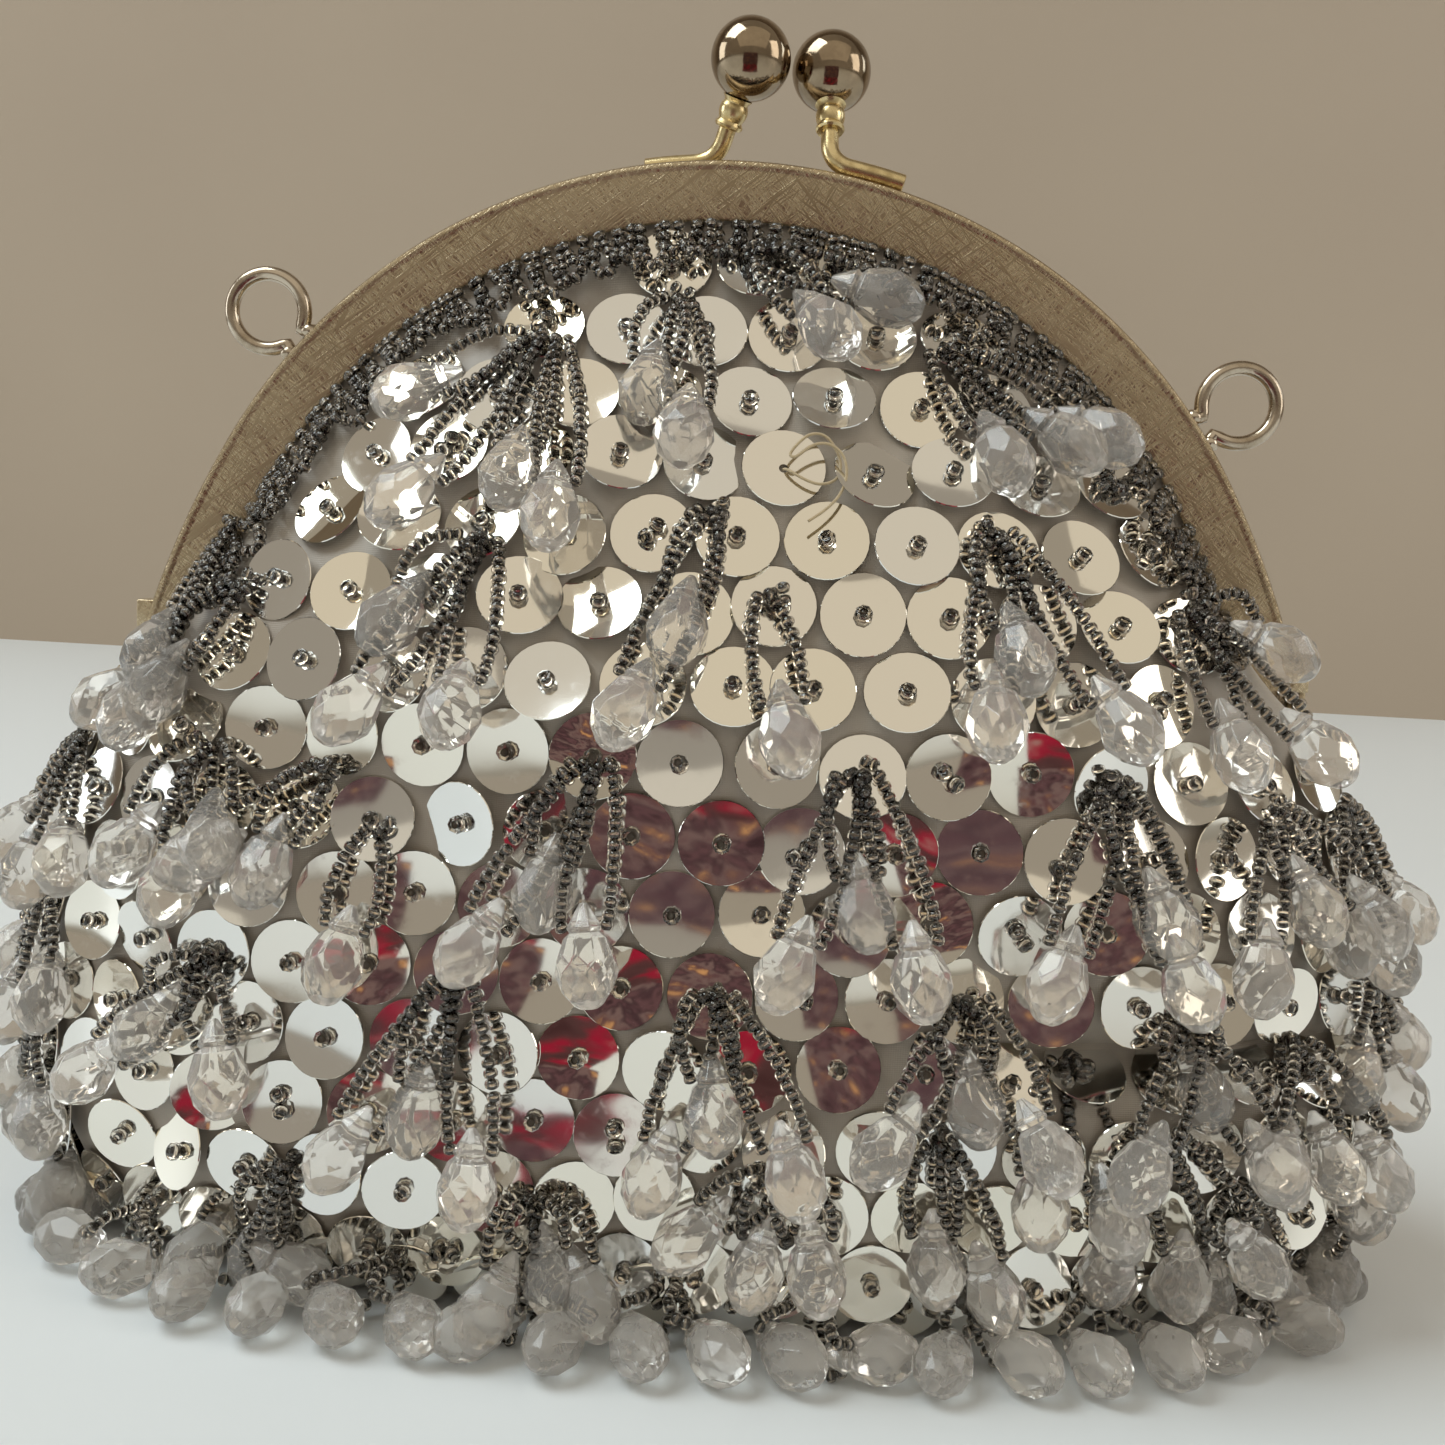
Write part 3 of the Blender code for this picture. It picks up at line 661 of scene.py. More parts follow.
def cloth_rows(facing, inset, floor):
    """One face of the bag, from the middle of its base up into the rail."""
    rows = []
    for share in (0.02, 0.35, 0.7, 0.93):
        row = [ring_point(turn, 0.0, inset + 1.0) for turn in COLUMNS]
        rows.append([(x, facing * d * share, floor) for x, d in row])
    for z in WALL_HEIGHTS:
        row = []
        for turn in COLUMNS:
            x, d = ring_point(turn, z, inset * (1 + 1.2 * max(1 - z / WIDEST_Z, 0.0)))
            row.append((x, facing * (d + sag(facing, x, z) * smooth(d / 12)), max(z, floor)))
        rows.append(row)
    for rise in np.linspace(0.04, 1.0, 26):
        row = []
        for turn in COLUMNS:
            x, d, z = yoke_point(turn, rise, inset)
            row.append((x, facing * (d + sag(facing, x, z) * smooth(d / 12)), z))
        rows.append(row)
    tuck = []
    for x, _, z in rows[-1]:
        angle = math.degrees(math.atan2(x, z - CROWN_CENTRE_Z))
        if abs(angle) > CROWN_ANGLE:
            reach = math.atan2(abs(x) + LEG_CENTRE_X, z - LEG_CENTRE_Z)
            angle = math.copysign(math.degrees(reach), x)
        tx, tz = frame_point(angle, YOKE_TUCK)
        tuck.append((tx, facing * (YOKE_TOP_Y - inset), tz))
    return rows + [tuck]


def thickened(mesh, thickness):
    """Gives the sheet a thickness inwards."""
    shape = bmesh.new()
    shape.from_mesh(mesh)
    bmesh.ops.solidify(shape, geom=shape.faces[:], thickness=thickness * MM)
    for face in shape.faces:
        face.smooth = True
    shape.to_mesh(mesh)
    shape.free()
    mesh.set_sharp_from_angle(angle=math.radians(50))


def cloth_face(name, facing, inset, floor, thickness, made, replaces):
    shape = bmesh.new()
    grid(shape, cloth_rows(facing, inset, floor))
    mesh = mesh_from_bmesh(name, shape)
    thickened(mesh, thickness)
    return add_piece(name, mesh, [made], bodies_of(facing), replaces)


for facing, side in ((-1, "front"), (1, "rear")):
    cloth_face(f"{side}_satin", facing, 0.0, 0.15, 0.5, SATIN,
               [f"{side}_yoke_shell"] + (["pouch_shell"] if facing < 0 else []))
    cloth_face(f"{side}_lining", facing, 1.5, 1.4, 0.35, LINING,
               [f"{side}_yoke_lining"] + (["pouch_lining"] if facing < 0 else []))


# ---------------------------------------------------------------- sequins and beads

def sequin_template():
    r, t = SEQUIN_RADIUS, 0.11
    top = [(0.55, t), (1.4, t), (3.0, t), (4.3, t), (r - 0.08, t), (r, 0.0)]
    bottom = [(r - 0.08, -t), (2.5, -t), (0.55, -t)]
    return Template(lathe(top + bottom, 32, closed=True))


def bead_template():
    r, half = BEAD_RADIUS, BEAD_PITCH / 2 - 0.03
    outer = [(r * 0.45, half), (r * 0.88, half * 0.66), (r, 0.0), (r * 0.88, -half * 0.66),
             (r * 0.45, -half)]
    glass = lathe(outer, 8, closed=True)
    core_radius, core_half = r * CORE_RADIUS_SHARE, half * CORE_HEIGHT_SHARE
    core = lathe([(core_radius, core_half), (core_radius, -core_half)], 8)
    made = bpy.data.meshes.new("core")
    for face in core.faces:
        face.material_index = 1
    core.to_mesh(made)
    core.free()
    glass.from_mesh(made)
    bpy.data.meshes.remove(made)
    return Template(glass)


def drop_template():
    """A faceted pear with a cone cap; rubbed edges take material 1. Its middle is at the origin."""
    rings = [(0.45, 0.0, 0.0), (2.1, 2.7, 0.0), (1.75, DROP_GROOVE, 0.0), (2.5, 3.8, 0.0),
             (3.4, 6.2, 0.0), (DROP_RADIUS, 7.6, 0.5), (2.95, 9.6, 0.0), (1.6, 11.2, 0.5),
             (0.9, 11.6, 0.5)]
    sides = 8
    shape = bmesh.new()
    made = []
    for radius, down, phase in rings:
        made.append([shape.verts.new((radius * math.cos(2 * math.pi * (i + phase) / sides),
                                      radius * math.sin(2 * math.pi * (i + phase) / sides),
                                      DROP_HALF - down)) for i in range(sides)])
    for k, (upper, lower) in enumerate(zip(made, made[1:])):
        if rings[k][2] == rings[k + 1][2]:
            for i in range(sides):
                j = (i + 1) % sides
                shape.faces.new((upper[i], upper[j], lower[j], lower[i]))
            continue
        if rings[k][2] > rings[k + 1][2]:
            lower = lower[1:] + lower[:1]
        for i in range(sides):
            j = (i + 1) % sides
            shape.faces.new((upper[i], upper[j], lower[i]))
            shape.faces.new((upper[j], lower[j], lower[i]))
    shape.faces.new(made[0])
    shape.faces.new(made[-1])
    bmesh.ops.recalc_face_normals(shape, faces=shape.faces)
    bmesh.ops.bevel(shape, geom=shape.edges[:], offset=0.085, segments=1, profile=0.5,
                    affect='EDGES', material=1)
    return Template(shape)


SEQUIN = sequin_template()
BEAD = bead_template()
DROP = drop_template()

LOWEST_SEQUIN_Z = 5.5
TOP_SEQUIN_Z = 129.0
SEQUIN_ARCH_INSET = 12.0
CUP = 0.26
STEADY_TILT = 6.0
LARGE_TILT_SHARE = 0.16
PLACE_SPREAD = 0.35
PAIR_SHARE = 0.12                 # sequins held by two stop beads
SIDE_MARGIN = 2.0                 # from the side line to the nearest sequin of the lattice
SIDE_GAP = 6.5                    # a wider gap gets a sequin on the side line itself
LOOSE_SEQUIN = (7, 0)             # row and column of the one that has lost its stop bead


def tilt_matrix(normal, up, lean, swing):
    """Disc axes with Z outward, leaned back (lower edge out) and swung, in degrees."""
    right = np.cross(up, normal)
    base = np.column_stack((right, up, normal))
    a, b = math.radians(lean), math.radians(swing)
    lean_turn = np.array(((1, 0, 0), (0, math.cos(a), math.sin(a)),
                          (0, -math.sin(a), math.cos(a))))
    swing_turn = np.array(((math.cos(b), 0, math.sin(b)), (0, 1, 0),
                           (-math.sin(b), 0, math.cos(b))))
    return base @ lean_turn @ swing_turn


def lattice_rows():
    """Heights of the sequin rows, a fixed distance apart along the middle of the cloth."""
    line = [cloth_point(-1, 0.0, z) for z in np.arange(0.0, 132.0, 0.5)]
    travel = travelled(line)
    heights = np.array([p[2] for p in line])
    start = np.interp(FIRST_ROW_Z, heights, travel)
    rows = []
    for number in range(-6, 14):
        target = start + number * ROW_PITCH
        if 2.0 < target < travel[-1]:
            rows.append((number, float(np.interp(target, travel, heights))))
    return rows


def side_columns(z, columns):
    """Places on the two side lines, where the sequins of both faces leave a gap."""
    edge = quarter(z)
    made = []
    for sign in (-1, 1):
        reach = max(sign * along for _, along in columns if sign * along <= edge - SIDE_MARGIN)
        if edge - reach > SIDE_GAP:
            made.append((None, sign * edge))
    return made


def sequins(facing):
    """Sews one face's sequins on; gives the middle and the axes of the loose one."""
    discs, stops = Batch(), Batch()
    loose = None
    for number, z in lattice_rows():
        shift = LATTICE_X + (SEQUIN_PITCH / 2 if number % 2 else 0.0)
        columns = [(k, shift + k * SEQUIN_PITCH) for k in range(-12, 12)]
        if facing < 0 and LOWEST_SEQUIN_Z < z < RIM_Z:
            columns += side_columns(z, columns)
        for k, column in columns:
            along = column + random.normal(0, PLACE_SPREAD) * (k is not None)
            height = max(z + random.normal(0, PLACE_SPREAD), LOWEST_SEQUIN_Z)
            lean = STEADY_TILT + random.normal(0, 4.0)
            swing = random.normal(0, 4.5)
            large, spin, bend = random.random(), random.random() * math.pi, random.normal(0, 0.12)
            if large < LARGE_TILT_SHARE:
                lean, swing = lean + random.normal(2, 9), swing + random.normal(0, 12)
            if height < HINGE_Z:
                outside = k is not None and abs(along) > quarter(height) - SIDE_MARGIN
            else:
                outside = (height > TOP_SEQUIN_Z
                           or abs(along) > arch_half_width(height, SEQUIN_ARCH_INSET))
            if outside:
                continue
            if k is None:
                along = math.copysign(quarter(height), along)
            here, normal, up = cloth_frame(facing, along, height)
            turn = tilt_matrix(normal, up, lean, swing)
            points = SEQUIN.points.copy()
            x, y = points[:, 0] / SEQUIN_RADIUS, points[:, 1] / SEQUIN_RADIUS
            bent_x = x * math.cos(spin) + y * math.sin(spin)
            points[:, 2] += CUP * (x ** 2 + y ** 2) + bend * bent_x ** 2
            reach = SEQUIN_RADIUS * math.sin(math.radians(abs(lean) * 0.5)) + 0.35
            place = here + normal * (reach + random.random() * 0.3)
            discs.stamp(SEQUIN, turn, place, points)
            pair = random.random() < PAIR_SHARE
            if facing < 0 and (number, k) == LOOSE_SEQUIN:
                loose = place, turn
                continue
            for bead in range(2 if pair else 1):
                angle = spin + bead * math.pi
                offset = turn @ np.array((math.cos(angle), math.sin(angle), 0.0)) * 0.95 * pair
                tip = turn @ np.array((math.cos(angle), math.sin(angle), 1.1 if pair else 4.0))
                stops.stamp(BEAD, turned_about(tip, angle), place + offset + normal * 0.85,
                            BEAD.points * STOP_BEAD_SCALE)
    side = side_of(facing)
    discs.piece(f"{side}_sequins", [MIRROR], "sequins", facing, sharp=50)
    stops.piece(f"{side}_stop_beads", [BEAD_GLASS, SMOKY_CORE], "seed_beads", facing)
    return loose


LOOSE_HOLE, LOOSE_TURN = sequins(-1)
sequins(1)


def bead_line(beads, points, pitch=BEAD_PITCH):
    """Beads threaded along a line of points."""
    points = np.array(points)
    travel = travelled(points)
    count = max(int(travel[-1] / pitch + 0.5), 1)
    for i in range(count):
        at = travel[-1] * (i + 0.5) / count
        here = np.array([np.interp(at, travel, points[:, k]) for k in range(3)])
        ahead = np.array([np.interp(at + 0.4, travel, points[:, k]) for k in range(3)])
        behind = np.array([np.interp(at - 0.4, travel, points[:, k]) for k in range(3)])
        here[2] = max(here[2], BEAD_RADIUS + 0.1)
        lean = unit(ahead - behind) + random.normal(0, 0.07, 3)
        beads.stamp(BEAD, turned_about(lean, random.random() * math.pi),
                    here + random.normal(0, 0.07, 3))


def curve_through(a, b, c, d, steps=24):
    return [a * (1 - t) ** 3 + b * 3 * t * (1 - t) ** 2 + c * 3 * t ** 2 * (1 - t) + d * t ** 3
            for t in np.linspace(0, 1, steps)]


def strand(beads, drops, anchor, normal, target):
    """A looped strand of beads from the anchor to one glass drop, whose middle is at target."""
    axis = unit(target - anchor)
    low = max(target[2] - TABLE_DROP_Z + 0.05, 0.0)
    steep = min(low / 3.0, 1.0)
    if axis[2] < -steep:
        flat = np.array((axis[0], axis[1], 0.0))
        if np.linalg.norm(flat) < 0.2:
            flat = np.array((normal[0], normal[1], 0.0))
        spin = random.normal(0, 0.85) if steep < 0.6 else 0.0
        flat = unit(flat)
        flat = np.array((flat[0] * math.cos(spin) - flat[1] * math.sin(spin),
                         flat[0] * math.sin(spin) + flat[1] * math.cos(spin), 0.0))
        axis = flat * math.sqrt(1 - steep ** 2) + np.array((0.0, 0.0, -steep))
    axis = unit(axis + random.normal(0, 0.06, 3) * (1.0 if low > 2.0 else 0.2))
    sink = DROP_HALF * abs(axis[2]) + DROP_RADIUS * math.sqrt(max(1 - axis[2] ** 2, 0.0))
    target = target + np.array((0.0, 0.0, max(sink - target[2], 0.0)))
    neck = target - axis * (DROP_HALF - DROP_GROOVE)
    across = unit(np.cross(axis, normal))
    slack = max(STRAND_LENGTH - np.linalg.norm(neck - anchor), 0.0)
    for side in (-1.0, 1.0):
        start = anchor + across * side * 0.55 + normal * 0.3
        end = neck + across * side * 2.35
        belly = across * side * (1.9 + slack * 0.3) + normal * (0.6 + slack * 0.4)
        path = curve_through(start, start + (neck - anchor) * 0.3 + belly,
                             end - axis * 4.0 + across * side * 0.9 + normal * slack * 0.3, end)
        bead_line(beads, path)
    drops.stamp(DROP, turned_about(-axis, random.random() * math.pi), target)


def tassel(beads, drops, facing, along, z, leans, stand_off=4.2):
    """Strands from one stitched anchor; each lean is the drop's place from the anchor."""
    here, normal, _ = cloth_frame(facing, along, z)
    anchor = here + normal * 1.7
    for number, (dx, dz) in enumerate(leans):
        height = max(z + dz, TABLE_DROP_Z)
        short = math.hypot(dx, height - z)
        reach = STRAND_LENGTH + DROP_HALF - DROP_GROOVE
        out = stand_off + 1.2 * number
        if z + dz < TABLE_DROP_Z + 3.0 and short < reach:
            out = max(out, math.sqrt(reach ** 2 - short ** 2) * 0.85)
        target = off_cloth(facing, along + dx, max(height, 3.0), out)
        target[2] = max(height, TABLE_DROP_Z)
        start = anchor + unit(np.cross(normal, (0, 0, 1.0))) * (number - 1) * -1.5
        strand(beads, drops, start, normal, target)
    for _ in range(3):
        beads.stamp(BEAD, turned_about(random.normal(0, 1, 3), 0.0),
                    anchor + random.normal(0, 0.7, 3) + normal * 0.4)


# Front tassels, by row: x, height, and each drop's place from the anchor (across, up)
FRONT_TASSELS = {
    "a": ((-23, 117, ((-13, -6), (-12, -18), (0, -15), (5, -19))),
          (-6, 123, ((-3, -10), (1, -15))),
          (2.5, 129, ((14, -4), (8, -8))),
          (25, 118, ((6, -11), (13, -9), (17, -8)))),
    "b": ((-62, 92, ((-5, -13), (-2, -20))),
          (-55, 86, ((-8, -11), (-14, -13))),
          (-27, 93, ((-8, -8), (-11, -18), (0, -17))),
          (0, 98, ((-4, -12), (-9, -21))),
          (7, 89, ((1.5, -14),)),
          (31, 97, ((3, -12), (0, -19), (14, -19))),
          (55, 89, ((4, -14), (14, -14), (9, -3)))),
    "c": ((-42, 67, ((-7, -11), (-14, -11))),
          (-36, 60, ((-4, -14),)),
          (-58, 68, ((-8, -12), (-1, -15), (4, -9))),
          (-12.5, 70, ((-4, -14), (-12, -21), (1, -21))),
          (17, 70, ((1, -14), (-7, -21), (8, -21))),
          (46, 70, ((6, -14), (-5, -21), (8, -21))),
          (66, 67, ((4, -10), (-3, -17), (11, -12)))),
    "d": ((-57, 43, ((-6, -8), (4, -12), (-12, -14))),
          (-27.5, 43.5, ((-3, -15), (-11, -20), (3, -22))),
          (2.2, 44, ((1, -12), (-5, -20), (10, -18))),
          (31.5, 44, ((1, -10), (-9, -15), (8, -14))),
          (44, 36, ((-3, -14), (5, -15))),
          (57, 43, ((2, -8), (10, -16), (-6, -15))),
          (72, 40, ((3, -14), (-5, -12), (9, -16)))),
    "e": ((-47, 19, ((-3, -12), (2, -14), (-10, -14))),
          (-17, 18, ((-4, -12), (2, -8), (7, -10))),
          (11, 24, ((-9, -8), (-2, -11), (5, -10))),
          (30, 28, ((-1, -14), (6, -17))),
          (54, 30, ((-4, -17), (5, -18), (12, -15))),
          (66, 22, ((-3, -14), (7, -16)))),
}
SIDE_TASSEL_ROWS = (66.0, 48.0, 31.0, 19.0)
BASE_TASSEL_STEP = 17.0
BASE_LEAN = 4.25                  # half the step between two drops of the fringe
BASE_TASSEL_Z = 7.5
SIDE_TASSEL_INSET = 7.0


def rear_tassels():
    """The back repeats the plain lattice: every third sequin of every third row."""
    rows = {"a": (120.0, (-24.0, 0.0, 24.0)), "b": (95.0, (-57.0, -27.0, 2.0, 32.0, 57.0)),
            "c": (68.5, (-42.0, -12.4, 17.2, 46.8, 66.0)),
            "d": (43.5, (-57.0, -27.4, 2.2, 31.8, 60.0)),
            "e": (20.0, (-65.0, -47.0, -17.4, 12.2, 41.8, 62.0))}
    made = {}
    for row, (z, places) in rows.items():
        made[row] = [(x, z, tuple((lean + random.normal(0, 1.5), drop + random.normal(0, 1.2))
                                  for lean, drop in ((0.5, -14), (-8, -20), (8, -20))))
                     for x in places]
    return made


CAD_TASSELS = {"a": 3, "c": 4, "d": 5, "e": 4}   # how many CAD nodes each row stands for


def tassel_group(facing, name, placed, nodes=()):
    """Tassels as two pieces; placed makes each one's place and leans just before it is sewn."""
    beads, drops = Batch(), Batch()
    for along, z, leans in placed:
        tassel(beads, drops, facing, along, z, leans)
    beads.piece(name.format("beads"), [BEAD_GLASS, DARK_CORE], "seed_beads", facing, nodes)
    drops.piece(name.format("drops"), [DROP_GLASS, FROSTED_EDGE], "glass_drops", facing, sharp=0)


def foot_tassels():
    """Places round the foot of the bag, whose drops lie on the table."""
    foot = quarter(BASE_TASSEL_Z)
    for along in np.arange(-foot + 4, foot, BASE_TASSEL_STEP):
        leans = [(random.normal(side_lean, 0.35), -4) for side_lean in (-BASE_LEAN, BASE_LEAN)]
        yield float(along), BASE_TASSEL_Z, leans


def side_tassels():
    """Places up the two sides of the bag."""
    for z in SIDE_TASSEL_ROWS:
        for sign in (-1, 1):
            leans = [(sign * lean + random.normal(0, 1.0), drop)
                     for lean, drop in ((-5, -13), (1, -16), (6, -12))]
            yield sign * (quarter(z) - SIDE_TASSEL_INSET), z, leans


for facing, side, rows in ((-1, "front", FRONT_TASSELS), (1, "rear", rear_tassels())):
    for row, anchors in rows.items():
        count = CAD_TASSELS.get(row, 0)
        tassel_group(facing, f"{side}_tassel_{{}}_{row}",
                     ((along_of(x, z), float(z), leans) for x, z, leans in anchors),
                     [f"{side}_tassel_{row}{n}" for n in range(1, count + 1)])
    tassel_group(facing, f"{side}_base_{{}}", foot_tassels())
    tassel_group(facing, f"{side}_side_{{}}", side_tassels(),
                 ["left_side_tassel" if facing < 0 else "right_side_tassel"])


# ---------------------------------------------------------------- bead crust along the frame

CRUST_LIMIT = 69.0                # degrees from the top
CRUST_STEP = 2.3


def crust(facing):
    """Overlapping small loops of beads sewn along the inner edge of the rail."""
    beads = Batch()
    angle = -CRUST_LIMIT
    while angle < CRUST_LIMIT:
        reach = CROWN_RADIUS if abs(angle) < CROWN_ANGLE else LEG_RADIUS
        step = math.degrees(CRUST_STEP / (reach - 10))
        depth = 4.6 + random.normal(0, 0.9)
        wide = 2.4 + random.normal(0, 0.5)
        loop = []
        for t in np.linspace(0, math.pi, 9):
            turn = angle + math.degrees(wide * (1 - math.cos(t)) * 0.5 * 1.6 / (reach - 10))
            inset = RAIL_WIDTH + depth * math.sin(t)
            x, z = frame_point(max(min(turn, 71.0), -71.0), inset)
            near = yoke_distance(x, z)
            out = max(near + 1.0, RAIL_FAR_Y + 0.2 - 0.6 * (inset - RAIL_WIDTH)) + 1.2 * math.sin(t)
            loop.append((x, facing * out, z))
        shifted = np.array(loop) + np.array((0, facing * random.random() * 0.9, 0))
        bead_line(beads, shifted, 1.42)
        angle += step
    side = side_of(facing)
    beads.piece(f"{side}_bead_crust", [BEAD_GLASS, DARK_CORE], "seed_beads", facing,
                [f"{side}_bead_trim"])


for facing in (-1, 1):
    crust(facing)


# ---------------------------------------------------------------- frame rails

RAIL_SECTION = (
    (0.25, 0.20), (0.06, 0.32), (0.0, 0.55), (0.0, 3.75), (0.07, 4.2), (0.28, 4.5), (0.6, 4.6),
    (0.95, 4.55), (1.12, 4.42), (1.3, 4.40), (6.75, 4.40), (7.05, 4.32), (7.2, 4.1), (7.1, 3.85),
    (6.8, 3.75), (0.95, 3.75), (0.7, 3.5), (0.7, 1.1), (0.95, 0.9), (6.9, 0.9), (7.15, 0.75),
    (7.2, 0.5), (7.05, 0.25), (6.8, 0.20))
ENGRAVED_FROM = 9                 # where the section's flat outer face starts, after the rim


def bevelled_box(shape, low, high, bevel=0.2):
    made = bmesh.ops.create_cube(shape, size=1.0)["verts"]
    for vert in made:
        vert.co = [low[i] + (vert.co[i] + 0.5) * (high[i] - low[i]) for i in range(3)]
    edges = list({edge for vert in made for edge in vert.link_edges})
    bmesh.ops.bevel(shape, geom=edges, offset=bevel, segments=3, profile=0.5, affect='EDGES')


def rings_about_x(profile, z, segments):
    """Rings about a line along X at height z, through (radius, x) points."""
    return [[(x, r * math.cos(t), z + r * math.sin(t)) for t in full_turn(segments)]
            for r, x in profile]


def disc(shape, x, z, radius, bore, thickness):
    """A round ear about X with softened edges and a pin hole."""
    half, soft = thickness / 2, 0.15
    profile = [(bore, half), (radius - soft, half), (radius, half - soft), (radius, soft - half),
               (radius - soft, -half), (bore, -half)]
    rings = rings_about_x([(r, x + offset) for r, offset in profile + profile[:1]], z, 32)
    made = grid(shape, rings, wrap=True)
    bmesh.ops.remove_doubles(shape, verts=made[0] + made[-1], dist=1e-5)


def rail(facing, ear_x):
    shape = bmesh.new()
    rows = []
    for angle in np.linspace(-RAIL_END_ANGLE, RAIL_END_ANGLE, 161):
        row = []
        for inset, distance in RAIL_SECTION:
            x, z = frame_point(angle, inset)
            row.append((x, facing * distance, z))
        rows.append(row)
    made = grid(shape, rows, wrap=True)
    shape.faces.new(made[0])
    shape.faces.new(made[-1])
    for face in shape.faces:
        face.material_index = 1
    flat = facing * RAIL_SECTION[ENGRAVED_FROM][1]
    for face in shape.faces:
        if all(abs(vert.co.y - flat) < 0.01 for vert in face.verts):
            face.material_index = 0
    for sign in (-1, 1):
        disc(shape, sign * ear_x, HINGE_Z, EAR_RADIUS, PIN_RADIUS + 0.2, EAR_THICKNESS)
        inner, outer = ear_x - EAR_THICKNESS / 2, ear_x + EAR_THICKNESS / 2
        for xs, ys, zs in (((LUG_INNER_X, outer), (RAIL_Y - 1.5, RAIL_Y + 1.8), (4.0, 7.5)),
                           ((inner, outer), (0.9, EAR_RADIUS), (0.2, 5.0))):
            x_pair = sorted(sign * x for x in xs)
            y_pair = sorted(facing * y for y in ys)
            bevelled_box(shape, (x_pair[0], y_pair[0], HINGE_Z + zs[0]),
                         (x_pair[1], y_pair[1], HINGE_Z + zs[1]))
    for face in shape.faces:
        if face.calc_center_median().z < HINGE_Z + 7.0:
            face.material_index = 1
    side = side_of(facing)
    mesh = mesh_from_bmesh(f"{side}_engraved_rail", shape, 32)
    add_piece(f"{side}_engraved_rail", mesh, [PLATE, POLISHED_PLATE],
              [f"{side}_frame"], [f"{side}_rail"])


rail(-1, FRONT_EAR_X)
rail(1, REAR_EAR_X)

for side in ("front", "rear"):
    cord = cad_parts[f"{side}_piping_cord"]
    cord.data.materials.clear()
    cord.data.materials.append(PAPER)


def hinge_pin(side, sign):
    """A rivet with domed heads on both sides of the two ears."""
    outer, inner = FRONT_EAR_X + 0.55, REAR_EAR_X - 0.55
    shape = bmesh.new()
    profile = [(0.05, outer + 0.95)]
    for t in np.linspace(0.15, 1.0, 7):
        profile.append((1.9 * math.sin(t * math.pi / 2), outer + 0.95 * math.cos(t * math.pi / 2)))
    profile += [(1.9, outer), (PIN_RADIUS, outer), (PIN_RADIUS, inner), (1.9, inner)]
    for t in np.linspace(1.0, 0.15, 7):
        profile.append((1.9 * math.sin(t * math.pi / 2), inner - 0.7 * math.cos(t * math.pi / 2)))
    profile.append((0.05, inner - 0.7))
    made = grid(shape, rings_about_x([(r, sign * x) for r, x in profile], HINGE_Z, 28), wrap=True)
    shape.faces.new(made[0])
    shape.faces.new(made[-1])
    mesh = mesh_from_bmesh(f"{side}_pin", shape, 40)
    add_piece(f"{side}_domed_rivet", mesh, [STEEL], ["pouch"],
              [f"{side}_hinge_rivet"])


hinge_pin("left", -1)
hinge_pin("right", 1)


# ---------------------------------------------------------------- ball clasp and rings

def middle_of(node):
    low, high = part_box(node)
    return (low + high) / (2 * MM)


def clasp(side, facing, foot):
    ball = middle_of(f"{side}_ball")
    lie = CROWN_RADIUS + STEM_RADIUS + 0.1

    def on_rail(x):
        return Vector((x, facing * RAIL_Y, CROWN_CENTRE_Z + math.sqrt(lie ** 2 - x ** 2)))

    shape = bmesh.new()
    bmesh.ops.create_uvsphere(shape, u_segments=72, v_segments=40, radius=BALL_RADIUS)
    bmesh.ops.translate(shape, verts=shape.verts, vec=ball)
    add_piece(f"{side}_polished_ball", mesh_from_bmesh("ball", shape), [BALL_NICKEL_PAINTED_DARK],
              [f"{side}_frame"], [f"{side}_ball"])

    bend, corner = on_rail(foot[1]), on_rail(foot[2])
    up = (ball - corner).normalized()
    top = ball - up * (BALL_RADIUS - 0.3)
    rise = corner + (top - corner) * 0.35
    points = [on_rail(x) for x in np.linspace(foot[0], foot[1], 7)]
    points += [bend * (1 - t) ** 2 + corner * 2 * t * (1 - t) + rise * t ** 2
               for t in np.linspace(0.12, 1.0, 10)]
    points += [rise + (top - rise) * t for t in (0.35, 0.7, 1.0)]
    shape = bmesh.new()
    points.insert(0, points[0] + (points[0] - points[1]).normalized() * CUT_END_BEVEL)
    radii = [STEM_RADIUS * 0.82] + [STEM_RADIUS] * (len(points) - 1)
    sweep(shape, points, radii, 20)
    add_piece(f"{side}_brass_stem", mesh_from_bmesh("stem", shape, 45), [BRASS],
              [f"{side}_frame"], [f"{side}_ball_stem"])

    base = ball - up * (BALL_RADIUS + 0.3 + COLLAR_HEIGHT)
    profile = [(1.12, 0.0), (1.6, 0.05), (1.78, 0.3), (1.78, 0.55), (1.55, 0.85), (1.5, 1.0),
               (1.6, 1.2), (1.78, 1.7), (1.82, 2.2), (1.74, 2.7), (1.5, 3.1), (1.6, 3.4),
               (1.9, 3.75), (1.12, 3.8)]
    shape = lathe(profile, 32, closed=True)
    spin = up.to_track_quat('Z', 'Y').to_matrix().to_4x4()
    bmesh.ops.transform(shape, matrix=Matrix.Translation(base) @ spin, verts=shape.verts)
    add_piece(f"{side}_brass_collar", mesh_from_bmesh("collar", shape, 35), [BRASS],
              [f"{side}_frame"], [f"{side}_ball_collar"])


clasp("rear", 1, REAR_FOOT_X)
clasp("front", -1, FRONT_FOOT_X)


